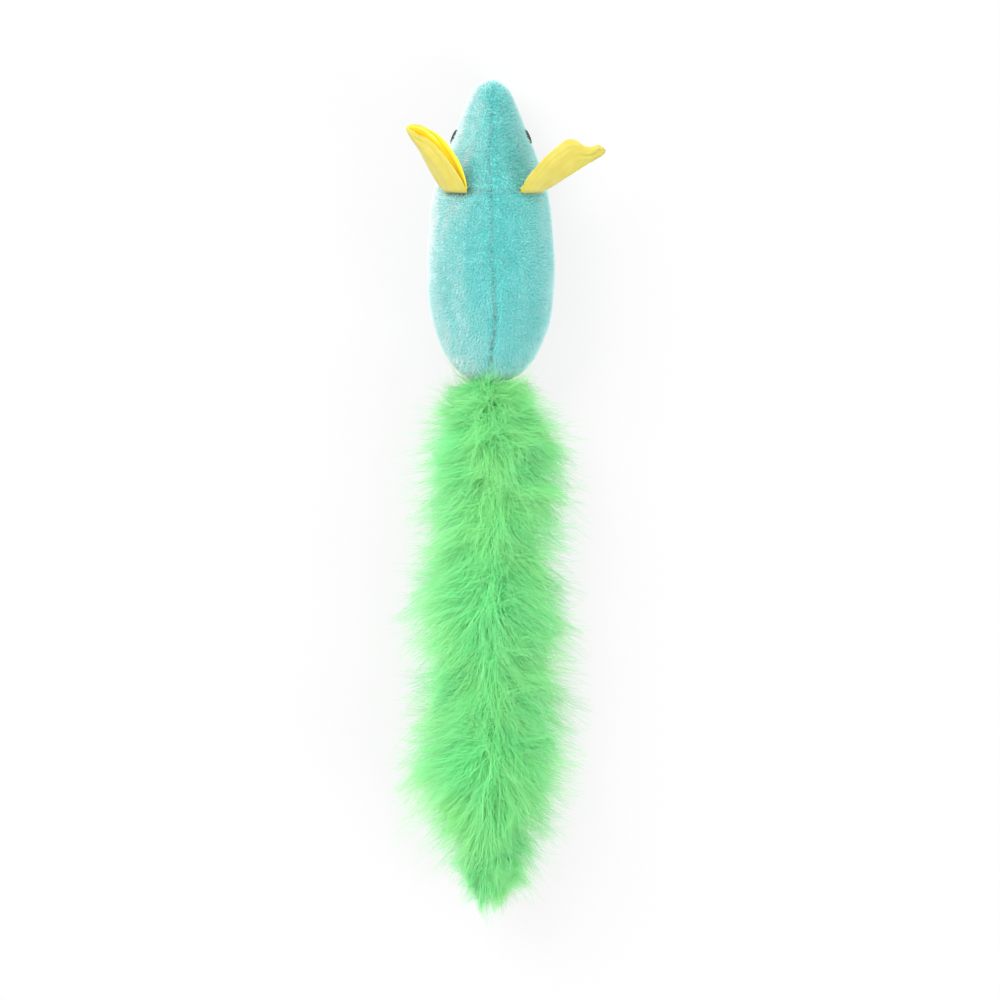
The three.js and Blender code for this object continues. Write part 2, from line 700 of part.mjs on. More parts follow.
function plume(k) {
  const radius = tailRadius * domeSizeShares[k];
  const front = k ? domeFront(radius) : coneFront(radius);
  let rear;
  if (k + 1 < plumeCount) {
    const cup = tailRadius * domeSizeShares[k + 1] + plumeClearance;
    const rim = Math.acos(skirtSetback / cup);
    rear = [
      new THREE.Vector2(tailRadius * skirtSizeShares[k], plumePitch * fullestShare),
      new THREE.Vector2(tailRadius * skirtSizeShares[k], plumePitch - skirtSetback),
      ...arc(plumePitch, cup, rim, Math.asin(boreRadius / cup)),
      front[0],
    ];
  } else {
    const knotRoom = endKnotRadius + seatGap;
    const knotPlace = plumePitch - endKnotInset;
    rear = [
      ...tipSwellShares.map(([along, size]) => new THREE.Vector2(radius * size, plumePitch * along)),
      new THREE.Vector2(0, plumePitch),
      new THREE.Vector2(0, knotPlace + knotRoom),
      new THREE.Vector2(knotRoom, knotPlace + knotRoom / 2),
      new THREE.Vector2(knotRoom, knotPlace - knotRoom),
      new THREE.Vector2(boreRadius, knotPlace - knotRoom),
      front[0],
    ];
  }
  return turned([...front, ...rear], firstBend + k * plumePitch, 22).intersect(sagRoom);
}

// The core cord of one plume: flat in front, round at the bend behind it, or ending at the end knot
function core(k) {
  const last = k + 1 === plumeCount;
  const end = last ? plumePitch - endKnotInset - endKnotRadius - seatGap : plumePitch;
  const profile = [new THREE.Vector2(0, bendGap), new THREE.Vector2(cordRadius, bendGap)];
  if (last) profile.push(new THREE.Vector2(cordRadius, end), new THREE.Vector2(0, end));
  else profile.push(...arc(end, cordRadius, Math.PI / 2, Math.PI));
  return turned(profile, firstBend + k * plumePitch, 12);
}

// Assembly
const tabReach = bodySolid(-seatGap);
addPiece("side_panel_left", sidePanel(1), finishes.plush);
addPiece("side_panel_right", sidePanel(-1), finishes.plush);
addPiece("belly_panel", bellyPanel(), finishes.plush);
addPiece("fibre_fill", fibreFill(), finishes.fibre);
addPiece("pouch_upper", pouchHalf(true), finishes.pouch);
addPiece("pouch_lower", pouchHalf(false), finishes.pouch);
addPiece("catnip_herb", pouchShape(pouchCloth + seatGap), finishes.herb);
for (const [name, points] of Object.entries(threadLines)) addPiece(name, thread(points), finishes.thread);
for (const [name, ear] of Object.entries(ears)) {
  addPiece(`eye_${name}`, eye(ear.side), finishes.eye);
  addPiece(`ear_${name}`, earLeaf(ear, frames[name]), finishes.satin);
  addPiece(`ear_tab_${name}`, earTab(frames[name]).intersect(tabReach), finishes.satin);
}
addPiece("tail_knot", ball(knotCentre, knotRadius), finishes.cord);
addPiece("tail_root_cord", rootCord(), finishes.cord);
addPiece("tail_bend_link", ball(new THREE.Vector3(0, firstBend, tailHeight), cordRadius), finishes.cord);
for (let k = 0; k < plumeCount; k++) {
  addPiece(`plume_${k + 1}`, plume(k), finishes.fluff);
  addPiece(`core_cord_${k + 1}`, core(k), finishes.cord);
}
const endKnotCentre = new THREE.Vector3(0, rumpReach + tailLength - endKnotInset, tailHeight);
addPiece("tail_end_knot", ball(endKnotCentre, endKnotRadius), finishes.cord);

export default mouse;
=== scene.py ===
"""Catnip mouse: plush body, satin ears, button eyes and a boa tail, dressed around the packed frame."""
import json
import math
from contextlib import contextmanager

import bmesh
import bpy
import numpy as np
from bpy.props import FloatProperty, FloatVectorProperty, IntProperty, PointerProperty
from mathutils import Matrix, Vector, noise


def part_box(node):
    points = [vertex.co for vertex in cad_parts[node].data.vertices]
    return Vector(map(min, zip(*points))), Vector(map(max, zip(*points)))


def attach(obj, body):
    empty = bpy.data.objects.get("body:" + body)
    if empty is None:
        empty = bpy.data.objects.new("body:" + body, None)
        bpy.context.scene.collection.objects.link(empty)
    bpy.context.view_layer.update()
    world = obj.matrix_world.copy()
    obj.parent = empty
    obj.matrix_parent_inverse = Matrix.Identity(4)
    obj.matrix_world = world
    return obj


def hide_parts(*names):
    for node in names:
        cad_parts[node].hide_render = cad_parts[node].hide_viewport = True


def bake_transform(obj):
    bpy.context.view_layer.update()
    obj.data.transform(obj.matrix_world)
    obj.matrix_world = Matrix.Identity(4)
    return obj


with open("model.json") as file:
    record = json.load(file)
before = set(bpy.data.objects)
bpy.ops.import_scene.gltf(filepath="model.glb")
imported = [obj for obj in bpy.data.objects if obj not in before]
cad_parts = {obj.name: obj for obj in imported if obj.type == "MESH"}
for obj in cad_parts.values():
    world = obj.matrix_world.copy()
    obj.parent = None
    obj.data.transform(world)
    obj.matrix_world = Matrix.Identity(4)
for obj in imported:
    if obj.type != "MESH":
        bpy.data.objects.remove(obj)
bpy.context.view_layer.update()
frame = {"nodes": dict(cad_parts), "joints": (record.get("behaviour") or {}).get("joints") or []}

bl_info = {
    "name": "Catnip Mouse",
    "version": (1, 0, 0),
    "blender": (4, 5, 0),
    "location": "View3D > Sidebar > Catnip Mouse",
    "description": "Plush skin, satin ears, button eyes and boa tail around a framed toy mouse",
    "category": "Add Mesh",
}

JOINTS = {joint["name"]: joint for joint in frame["joints"]}

# Places that the frame gives
FIRST_BEND = Vector(JOINTS["tail_swing"]["pos_m"])
PLUME_PITCH = JOINTS["tail_bend_1"]["pos_m"][1] - FIRST_BEND.y
PLUME_COUNT = 1 + sum(name.startswith("tail_bend") for name in JOINTS)
TAIL_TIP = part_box(f"plume_{PLUME_COUNT}")[1].y
ROOT_STANDOFF = 0.003  # first bend of the tail behind the rump
NOSE_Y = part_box("belly_panel")[0].y
RUMP_Y = FIRST_BEND.y - ROOT_STANDOFF
BODY_LENGTH = RUMP_Y - NOSE_Y
HALF_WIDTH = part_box("side_panel_left")[1].x
BODY_HEIGHT = 0.037
RESTING_CUT = 0.0005  # how deep the belly is flattened

# Swell of the body: share of the length, then half width, back and belly as shares
BODY_SWELL_SHARES = [
    (0, 0, 0.27, 0.27),
    (0.008, 0.14, 0.34, 0.2),
    (0.03, 0.275, 0.41, 0.14),
    (0.1, 0.44, 0.52, 0.045),
    (0.22, 0.665, 0.71, 0.005),
    (0.37, 0.895, 0.875, 0),
    (0.5, 0.965, 0.96, 0),
    (0.64, 1, 1, 0),
    (0.78, 0.935, 0.95, 0),
    (0.88, 0.78, 0.85, 0.04),
    (0.95, 0.56, 0.725, 0.15),
    (0.988, 0.27, 0.6, 0.34),
    (1, 0, 0.4935, 0.4935),
]
WIDEST_SHARE = 0.48  # height of the body's widest line
BELLY_FULLNESS = 2.5
NOSE_DRAW = 0.002  # the nose is drawn out this far
NOSE_FADE = 0.006  # and the draw fades over this length
NOSE_END = 0.004  # the panels stop this far from the nose, as a curve parameter
RUMP_END = 0.02  # and leave the tail's cord this much room
EYE_SHARE = 0.178  # place of the eyes along the body
EYE_TURN = 0.474  # and round it
# An eye's rim and dome: reach and rise, as shares
EYE_PROFILE = (
    (0.9, 0.0), (0.98, 0.08), (1.0, 0.25), (0.99, 0.42), (0.93, 0.58), (0.8, 0.76), (0.6, 0.89), (0.4, 0.96),
    (0.2, 0.99),
)

# The belly seam's line as seen from the side
SEAM_LOW_SHARE = 0.1
SEAM_FRONT_SHARE = 0.17
SEAM_REAR_SHARE = 0.2
# The back seam wanders: place along the body, then sideways as a share of the half width
SEAM_WANDER_SHARES = [
    (0, -0.02), (0.16, -0.015), (0.24, 0.045), (0.37, 0), (0.55, -0.01), (0.72, -0.05),
    (0.77, -0.075), (0.85, -0.05), (0.89, -0.01), (0.92, 0), (1, 0.02),
]
FULL_SEAM_GIRTH = 0.022  # seams are shallower where a panel is narrower than this
STITCH_PITCH = 0.0024
STITCH_RISE = 0.00012
FULL_FLANGE_GIRTH = 0.03  # the turned-in cloth is shorter where a panel is narrower than this
FLANGE_DEPTHS = (0.0028, 0.0018, 0.0008)
# Pulled-in stitches of the hand-closed stretch, along the body
CLOSING_DIP_SHARES = [0.745, 0.769, 0.792, 0.83, 0.861, 0.881, 0.917]
CLOSING_DIP_DEPTH = 0.0011
CLOSING_DIP_WIDTH = 0.0009
# One closing stitch over the seam: how far to the side, and how deep
LADDER_STITCH = ((-0.0014, 0.0011), (-0.0009, 0.0004), (0.0, 0.0003), (0.0009, 0.0004), (0.0014, 0.0011))
CLOSING_THREAD_RADIUS = 0.00022
# The dart across the nape, where the ears are caught
DART_SHARE = 0.367
DART_END_TURN = 0.36
DART_DEPTH = 0.0009
DART_WIDTH = 0.0012
# A shallow crease across the left flank
CREASE_PLACE = (0.0145, 0.0008)
CREASE_REACH = (0.005, 0.0012)
CREASE_DEPTH = 0.00035
MATTED_DEPTH = 0.0004
POUCH_EDGE = 0.002
POUCH_CLOTH = 0.0005
FLOOR_CLEARANCE = 0.0001

KNOT_CORD_SHARE = 0.36  # thickness of a knot's cord, as a share of the knot's half length
KNOT_LENGTH_SHARE = 0.45
CORD_OVERLAP = 0.0008  # the cord runs this far into the end knot
CORD_GIVE = (-0.0012, 0.002)  # stretch of cord about the first bend, between the body and the tail's link
FLUFF_EDGE = 0.031  # the down bends back where it gets this far to the side
FLUFF_LIMIT = FLUFF_EDGE + 0.003  # and no wisp of it ends farther
ROOT_FLUFF = (-0.0018, 0.006)  # reach about the first bend of the fluff at the tail's root
ROOT_FLUFF_BEND = (-0.003, 0.01)  # and a stretch about the first bend
ROOT_FLUFF_SHARE = 0.5  # its share of one length's strands
FIRST_FLUFF_SHARE = 0.66  # and that of the length behind it
FLUFF_END_SHARE = 0.58  # the last tufts grow this share of their reach before the tail's tip
# Fullness of the fluff along the tail: place and reach, as shares
FULLNESS_SHARES = [
    (0, 0.68), (0.02, 0.78), (0.05, 0.84), (0.1, 0.83), (0.2, 0.88), (0.32, 0.95), (0.45, 1), (0.56, 1),
    (0.66, 0.99), (0.76, 0.98), (0.84, 0.83), (0.9, 0.75), (0.95, 0.62), (1, 0.36),
]

TOY_MIDDLE = 0.02
FLOOR_REACH = 3.0
FLOOR_COLOR = (0.85, 0.85, 0.85)
FLOOR_SEEN_COLOR = (0.1, 0.1, 0.1)
FLOOR_GLOW = 0.8


def color_of(name, about, default):
    return FloatVectorProperty(name=name, description=about, subtype="COLOR", size=3, default=default)


def size_of(name, about, default):
    return FloatProperty(name=name, description=about, unit="LENGTH", default=default)


def number_of(name, about, default, least=1):
    return IntProperty(name=name, description=about, default=default, min=least)


def power_of(name, about, default):
    return FloatProperty(name=name, description=about, unit="POWER", default=default)


class PlushSettings(bpy.types.PropertyGroup):
    """Plush of the body"""

    base_color: color_of("Ground", "Colour deep in the pile", (0.13, 0.77, 0.75))
    # Painted sheen: the near-white tips make the pile paler where it is seen from the side.
    lit_tip_color: color_of("Tips", "Colour of the pile's tips", (0.9, 0.99, 0.99))
    # Painted sheen: the pale colour that stands in for the pile's sheen on the flanks and on the side facing
    # the key lamp.
    painted_sheen_color: color_of("Nap", "Pale colour of the pile seen from its side", (0.87, 0.93, 0.925))
    skin_inset: size_of("Skin inset", "Backing cloth below the pile's outer face", 0.0009)
    cloth: size_of("Backing", "Thickness of the backing cloth", 0.0009)
    seam_depth: size_of("Seam depth", "How far the seams draw the cloth in", 0.0009)
    seam_width: size_of("Seam width", "Half width of a seam's valley", 0.0008)
    lump: size_of("Stuffing lumps", "Height of the stuffing's unevenness", 0.00035)
    pile_length: size_of("Pile length", "Length of one pile fibre", 0.0012)
    pile_width: size_of("Pile width", "Width of a fibre at its foot", 0.00024)
    pile_count: number_of("Fibres per panel", "Pile fibres on one panel", 44000, 100)


class EarSettings(bpy.types.PropertyGroup):
    """Satin of the ears"""

    satin_color: color_of("Satin", "Colour of the satin", (0.56, 0.455, 0.035))
    # Painted highlight: the colour of light caught along the satin's streaks.
    painted_satin_highlight: color_of("Satin floats", "Colour where its threads catch the light", (0.65, 0.61, 0.15))
    # Painted light: the deeper yellow of light that passes through the satin and bounces inside the fold.
    fold_glow_color: color_of("Inside", "Colour in the fold, where light comes through", (1.0, 0.8, 0.03))
    cloth: size_of("Thickness", "Two layers of satin, sewn and turned", 0.0008)
    cut_width: size_of("Cut width", "Width of the flat satin leaf", 0.0255)
    wrinkle: size_of("Wrinkles", "Height of the satin's wrinkles", 0.0003)


class EyeSettings(bpy.types.PropertyGroup):
    """Button eyes"""

    color: color_of("Eye", "Colour of the eyes", (0.006, 0.006, 0.007))
    diameter: size_of("Diameter", "Width of one eye", 0.005)
    height: size_of("Height", "Rise of its dome", 0.0009)
    sink: size_of("Sink", "How deep it sits in the pile", 0.0004)


class TailSettings(bpy.types.PropertyGroup):
    """Boa tail"""

    # Partly painted shade: the down's own green, more saturated near the cord for shade deep in the fluff.
    root_color: color_of("Down, inner", "Colour of the down near the cord", (0.13, 0.8, 0.3))
    # Partly painted light: the down's own green, paler at the tips for light on the thin outer wisps.
    lit_tip_color: color_of("Down, tips", "Colour of the down at its tips", (0.43, 0.83, 0.46))
    patch_color: color_of("Down, patches", "Yellower colour that it has here and there", (0.49, 0.85, 0.36))
    cord_color: color_of("Cord", "Colour of the core cord", (0.1, 0.55, 0.13))
    radius: size_of("Fluff radius", "Reach of the fluff around the cord", 0.0225)
    strand_count: number_of("Strands per length", "Strands of down on one length of the tail", 7600, 10)
    tuft_size: number_of("Strands per tuft", "Strands that lie together", 12)
    strand_width: size_of("Strand width", "Width of a strand at its root", 0.00016)
    cord_radius: size_of("Cord radius", "Radius of the core cord", 0.0015)


class StageSettings(bpy.types.PropertyGroup):
    """Floor, lamps and camera"""

    field: size_of("Field", "Width of the floor that the camera sees", 0.32)
    view_x: size_of("View X", "Middle of the view, across", -0.00288)
    view_y: size_of("View Y", "Middle of the view, along", 0.0736)
    camera_height: size_of("Camera height", "Camera above the floor", 2.0)
    key_power: power_of("Key lamp", "Power of the lamp at the upper left of the view", 24.0)
    fill_power: power_of("Fill lamp", "Power of the lamp at the right", 12.0)
    ambient: FloatProperty(name="Ambient", description="Level of the light from all round", default=1.05)


# Node trees

class Field:
    """A value in a node tree that takes plain arithmetic."""

    def __init__(self, tree, socket):
        self.tree = tree
        self.socket = socket

    def math(self, operation, *others, clamp=False):
        made = self.tree.nodes.new("ShaderNodeMath")
        made.operation = operation
        made.use_clamp = clamp
        for socket, value in zip(made.inputs, (self, *others)):
            put(self.tree, socket, value)
        return Field(self.tree, made.outputs[0])

    def __add__(self, other):
        return self.math("ADD", other)

    def __sub__(self, other):
        return self.math("SUBTRACT", other)

    def __mul__(self, other):
        return self.math("MULTIPLY", other)

    def __truediv__(self, other):
        return self.math("DIVIDE", other)

    def __pow__(self, other):
        return self.math("POWER", other)

    __radd__ = __add__
    __rmul__ = __mul__

    def __rsub__(self, other):
        return self * -1 + other

    def __rtruediv__(self, other):
        return self ** -1 * other


def put(tree, socket, value):
    """Links a field, or a node's first output, to a socket, or sets the socket to a value."""
    if isinstance(value, Field):
        tree.links.new(value.socket, socket)
    elif isinstance(value, bpy.types.Node):
        tree.links.new(value.outputs[0], socket)
    else:
        socket.default_value = value


def node(tree, kind, inputs=None, **settings):
    """A new node with its settings and inputs; inputs go by name or number."""
    made = tree.nodes.new(kind)
    for name, value in settings.items():
        setattr(made, name, value)
    for key, value in (inputs or {}).items():
        put(tree, made.inputs[key], value)
    return made


def field(tree, kind, inputs=None, output=0, **settings):
    return Field(tree, node(tree, kind, inputs, **settings).outputs[output])


def combine(tree, x, y, z):
    return field(tree, "ShaderNodeCombineXYZ", {0: x, 1: y, 2: z})


def vectors(tree, operation, first, second):
    """Two vectors, or a vector and a scale, put together."""
    key = "Scale" if operation == "SCALE" else 1
    return field(tree, "ShaderNodeVectorMath", {0: first, key: second}, operation=operation)


def stirred(tree, scale, detail, **place):
    """Smooth noise that points any way, up to half a unit."""
    cloud = field(tree, "ShaderNodeTexNoise", {"Scale": scale, "Detail": detail, **place}, output="Color")
    return vectors(tree, "SUBTRACT", cloud, (0.5, 0.5, 0.5))


def random(tree, low, high, number, seed):
    """An even random value between low and high, one for each number."""
    inputs = {2: low, 3: high, "ID": number, "Seed": seed}
    return field(tree, "FunctionNodeRandomValue", inputs, output=1, data_type="FLOAT")


def stored(tree, geometry, name, value):
    """The geometry with a value stored on its points."""
    inputs = {"Geometry": geometry, "Name": name, "Value": value}
    return node(tree, "GeometryNodeStoreNamedAttribute", inputs, data_type="FLOAT", domain="POINT")


def geometry_tree(name, defaults):
    """A modifier tree with an input for each name and default, and one for its material."""
    tree = bpy.data.node_groups.new(name, "GeometryNodeTree")
    tree.interface.new_socket("Geometry", in_out="INPUT", socket_type="NodeSocketGeometry")
    tree.interface.new_socket("Geometry", in_out="OUTPUT", socket_type="NodeSocketGeometry")
    for label, default in defaults.items():
        kind = "NodeSocketInt" if isinstance(default, int) else "NodeSocketFloat"
        tree.interface.new_socket(label, in_out="INPUT", socket_type=kind).default_value = default
    tree.interface.new_socket("Material", in_out="INPUT", socket_type="NodeSocketMaterial")
    entry = tree.nodes.new("NodeGroupInput")
    return tree, {socket.name: Field(tree, socket) for socket in entry.outputs if socket.name}


def end_tree(tree, geometry, given):
    """Real geometry with its material, at the end of a tree."""
    real = node(tree, "GeometryNodeRealizeInstances", {"Geometry": geometry})
    coated = node(tree, "GeometryNodeSetMaterial", {"Geometry": real, "Material": given["Material"]})
    node(tree, "NodeGroupOutput", {0: coated})


def end_in_tubes(tree, curve, sides, radius, given, **more):
    """Closed tubes along the curves, at the end of a tree."""
    section = node(tree, "GeometryNodeCurvePrimitiveCircle", {"Resolution": sides, "Radius": radius})
    inputs = {"Curve": curve, "Profile Curve": section, "Fill Caps": True, **more}
    end_tree(tree, node(tree, "GeometryNodeCurveToMesh", inputs), given)


def strands(tree, count, points):
    """So many curves of so many points, with the number of a point's strand and its place along it."""
    line = node(tree, "GeometryNodeCurvePrimitiveLine")
    short = node(tree, "GeometryNodeResampleCurve", {"Curve": line, "Count": points}, mode="COUNT")
    spots = node(tree, "GeometryNodePoints", {"Count": count})
    copies = node(tree, "GeometryNodeInstanceOnPoints", {"Points": spots, "Instance": short})
    curves = node(tree, "GeometryNodeRealizeInstances", {"Geometry": copies})
    index = field(tree, "GeometryNodeInputIndex")
    strand = (index / points).math("FLOOR")
    return curves, strand, (index - strand * points) / (points - 1)


def linked(name, data):
    """A new object in the scene."""
    made = bpy.data.objects.new(name, data)
    bpy.context.scene.collection.objects.link(made)
    return made


def grown(name, base, tree, values):
    """A plain mesh piece made by a tree's modifier on a base mesh, with the tree's inputs set by name."""
    host = linked(f"{name}_host", base)
    modifier = host.modifiers.new(name, "NODES")
    modifier.node_group = tree
    for item in tree.interface.items_tree:
        if item.item_type == "SOCKET" and item.in_out == "INPUT" and item.name in values:
            modifier[item.identifier] = values[item.name]
    bpy.context.view_layer.update()
    evaluated = host.evaluated_get(bpy.context.evaluated_depsgraph_get())
    mesh = bpy.data.meshes.new_from_object(evaluated)
    bpy.data.objects.remove(host)
    mesh.name = name
    if not mesh.polygons:
        raise RuntimeError(f"{name} came out empty")
    return linked(name, mesh)


# Materials

def surface(name, roughness, specular=0.5, sheen=0.0, coat=0.0, sheen_tint=(1, 1, 1)):
    """A new material with its tree and its surface shader."""
    material = bpy.data.materials.new(name)
    material.use_nodes = True
    shader = material.node_tree.nodes["Principled BSDF"]
    inputs = {
        "Roughness": roughness, "Specular IOR Level": specular, "Coat Weight": coat,
        "Sheen Weight": sheen, "Sheen Roughness": 0.45, "Sheen Tint": (*sheen_tint, 1),
    }
    for label, value in inputs.items():
        shader.inputs[label].default_value = value
    return material, material.node_tree, shader


def blended_in(tree, share, shader):
    """Mixes a share of another shader into what the material shows so far."""
    out = next(each for each in tree.nodes if each.type == "OUTPUT_MATERIAL")
    shown = Field(tree, out.inputs[0].links[0].from_socket)
    put(tree, out.inputs[0], node(tree, "ShaderNodeMixShader", {0: share, 1: shown, 2: shader}))


def lit_through(tree, color, share):
    """Mixes in light that comes through the fibres."""
    blended_in(tree, share, node(tree, "ShaderNodeBsdfTranslucent", {"Color": color}))


def soft_shadow(tree, share):
    """Lets a share of the light past a strand, which stands for many barbs with gaps between them."""
    shadow = field(tree, "ShaderNodeLightPath", output="Is Shadow Ray")
    blended_in(tree, shadow * share, node(tree, "ShaderNodeBsdfTransparent"))


def object_place(tree):
    return field(tree, "ShaderNodeTexCoord", output="Object")


def noise_at(tree, scale, detail=2.0, place=None):
    place = place or object_place(tree)
    return field(tree, "ShaderNodeTexNoise", {"Vector": place, "Scale": scale, "Detail": detail})


def wave_at(tree, scale, distortion, direction, place=None):
    inputs = {"Vector": place or object_place(tree), "Scale": scale, "Distortion": distortion, "Detail": 2.0}
    return field(tree, "ShaderNodeTexWave", inputs, output="Fac", bands_direction=direction)


def named(tree, name):
    return field(tree, "ShaderNodeAttribute", output="Fac", attribute_name=name)


def mixed(tree, share, first, second):
    """A colour between two, each a colour or a field."""
    made = node(tree, "ShaderNodeMix", {0: share}, data_type="RGBA", clamp_factor=True)
    for socket, value in ((made.inputs[6], first), (made.inputs[7], second)):
        put(tree, socket, value if isinstance(value, Field) else (*value, 1))
    return Field(tree, made.outputs[2])


def scaled(color, factor):
    return tuple(min(1.0, channel * factor) for channel in color)


def bumped(tree, shader, height, strength, distance):
    bump = node(tree, "ShaderNodeBump", {"Height": height, "Strength": strength, "Distance": distance})
    put(tree, shader.inputs["Normal"], bump)


def colored(tree, shader, color):
    put(tree, shader.inputs["Base Color"], color)


def plush_material(settings):
    material, tree, shader = surface("aqua_plush", 0.95, specular=0.1)
    # Painted sheen: lengthwise streaky noise, the mask of sideways-facing pile and the mask of the side
    # facing the key lamp at the upper left mix a pale colour over the pile.
    sheen_streaks = field(tree, "ShaderNodeMapping", {"Vector": object_place(tree), "Scale": (260.0, 70.0, 260.0)})
    sheen_streaks = ((noise_at(tree, 1.0, 3.0, sheen_streaks) - 0.5) * 3).math("ADD", 0.3, clamp=True)
    flank_sheen = named(tree, "flank_sheen")
    # Painted sheen: the pile pales toward its near-white tips, so it shows paler where it is seen from the
    # side.
    share = named(tree, "rise") ** 2 * 0.8 + named(tree, "tint") * 0.15
    color = mixed(tree, share, settings.base_color, settings.lit_tip_color)
    painted_sheen_share = flank_sheen * 0.5 + sheen_streaks * (flank_sheen ** 0.7 * 0.34 + 0.02)
    painted_sheen_share = painted_sheen_share + named(tree, "key_side_sheen") ** 0.6 * (sheen_streaks * 0.37 + 0.31)
    color = mixed(tree, painted_sheen_share, color, settings.painted_sheen_color)
    colored(tree, shader, color)
    lit_through(tree, color, 0.4)
    return material


def down_material(settings):
    material, tree, shader = surface("green_down", 0.75, specular=0.2, sheen=0.25, sheen_tint=(0.8, 1, 0.8))
    # Partly painted: the down's own green, with shade painted near the cord and light painted on the tips.
    share = named(tree, "rise") * 0.75 + named(tree, "tint") * 0.35
    shade = mixed(tree, share, settings.root_color, settings.lit_tip_color)
    patches = ((noise_at(tree, 50.0, 2.0) - 0.5) * 4).math("ADD", 0.35, clamp=True)
    color = mixed(tree, patches * 0.4, shade, settings.patch_color)
    colored(tree, shader, color)
    lit_through(tree, color, 0.42)
    soft_shadow(tree, 0.7)
    return material


def satin_material(settings):
    material, tree, shader = surface("yellow_satin", 0.34, sheen=0.2, coat=0.15, sheen_tint=(1, 0.98, 0.8))
    shader.inputs["Anisotropic"].default_value = 0.5
    threads = field(tree, "ShaderNodeUVMap")
    stretched = field(tree, "ShaderNodeMapping", {"Vector": threads, "Scale": (30.0, 2.5, 1.0)})
    streaks = noise_at(tree, 1.0, 4.0, stretched)
    weave = wave_at(tree, 70.0, 1.5, "X", threads)
    slubs = noise_at(tree, 9.0, 3.0, threads)
    # Painted highlight: streaky noise, weave and slub noise mix the satin toward its highlight colour.
    share = (streaks - 0.5) * 0.9 + weave * 0.12 + (slubs - 0.5) * 0.7 + 0.42
    face = mixed(tree, share, settings.satin_color, settings.painted_satin_highlight)
    # Painted light: the fold's inside faces take the deeper yellow of light passed through and bounced in
    # the fold.
    color = mixed(tree, named(tree, "inner"), face, settings.fold_glow_color)
    colored(tree, shader, color)
    lit_through(tree, color, 0.25)
    bumped(tree, shader, weave * 0.3 + slubs + streaks * 0.4, 0.2, 0.00012)
    return material


def eye_material(settings):
    material, tree, shader = surface("black_button", 0.5, specular=0.1)
    specks = noise_at(tree, 900.0, 3.0)
    colored(tree, shader, mixed(tree, specks * 0.4, settings.color, (0.02, 0.02, 0.022)))
    put(tree, shader.inputs["Roughness"], specks * 0.2 + 0.3)
    return material


def thread_material(name, color, scale=2500.0):
    """Spun thread or cord: fine slanted twist with a little fuzz."""
    material, tree, shader = surface(name, 0.8, specular=0.1, sheen=0.05)
    twist = wave_at(tree, scale, 3.0, "DIAGONAL")
    colored(tree, shader, mixed(tree, twist, scaled(color, 0.6), scaled(color, 1.15)))
    bumped(tree, shader, twist, 0.5, 0.0002)
    return material


def fibre_material(name, color, scale, depth):
    """Loose or matted matter, such as stuffing or crumbled leaf."""
    material, tree, shader = surface(name, 1.0, sheen=0.2)
    mat = noise_at(tree, scale, 6.0)
    grain = noise_at(tree, scale * 6, 3.0)
    colored(tree, shader, mixed(tree, mat * 0.6 + grain * 0.5, scaled(color, 0.55), scaled(color, 1.2)))
    bumped(tree, shader, mat + grain * 0.5, 0.8, depth)
    return material


def cotton_material(color):
    material, tree, shader = surface("pouch_cotton", 0.9, sheen=0.2)
    weave = wave_at(tree, 700.0, 0.6, "X") * wave_at(tree, 700.0, 0.6, "Y")
    colored(tree, shader, mixed(tree, weave + noise_at(tree, 200.0) * 0.3, scaled(color, 0.75), color))
    bumped(tree, shader, weave, 0.6, 0.00015)
    return material


# Body form

def catmull(points, t):
    """A smooth curve through evenly numbered points, at parameters t from 0 to 1."""
    points = np.asarray(points, float)
    spans = len(points) - 1
    place = np.clip(np.asarray(t, float) * spans, 0, spans)
    first = np.minimum(place.astype(int), spans - 1)
    w = (place - first)[..., None]
    whole = np.vstack([2 * points[0] - points[1], points, 2 * points[-1] - points[-2]])
    a, b, c, d = (whole[first + i] for i in range(4))
    return 0.5 * (2 * b + (c - a) * w + (2 * a - 5 * b + 4 * c - d) * w**2 + (3 * b - a - 3 * c + d) * w**3)


def swell_at(parameter):
    """Share of the length, half width, back and belly at curve parameters."""
    return catmull(BODY_SWELL_SHARES, parameter)


PARAMETERS = np.linspace(0, 1, 4001)
ALONG = swell_at(PARAMETERS)[:, 0]


def parameter_at(share):
    """Curve parameter at which the swell reaches a share of the body's length."""
    return np.interp(share, ALONG, PARAMETERS)


def body_point(parameter, turn, inset=0.0):
    """Points of the body's surface; turn is 0 at the back seam and 1 under the belly."""
    parameter, turn = np.broadcast_arrays(np.asarray(parameter, float), np.asarray(turn, float))
    swell = swell_at(parameter)
    height = BODY_HEIGHT + RESTING_CUT - 2 * inset
    bottom = inset - RESTING_CUT
    back = bottom + height * swell[..., 2]
    belly = bottom + height * swell[..., 3]
    widest = belly + (back - belly) * WIDEST_SHARE
    sine, cosine = np.sin(turn * math.pi), np.cos(turn * math.pi)
    power = np.where(cosine > 0, 1.0, 2 / BELLY_FULLNESS)
    sideways = np.sign(sine) * np.abs(sine) ** power
    upright = np.abs(cosine) ** power
    level = np.where(cosine > 0, widest + (back - widest) * upright, widest - (widest - belly) * upright)
    return np.stack([
        (HALF_WIDTH - inset) * swell[..., 1] * sideways,
        NOSE_Y + inset + (BODY_LENGTH - 2 * inset) * swell[..., 0],
        level,
    ], axis=-1)


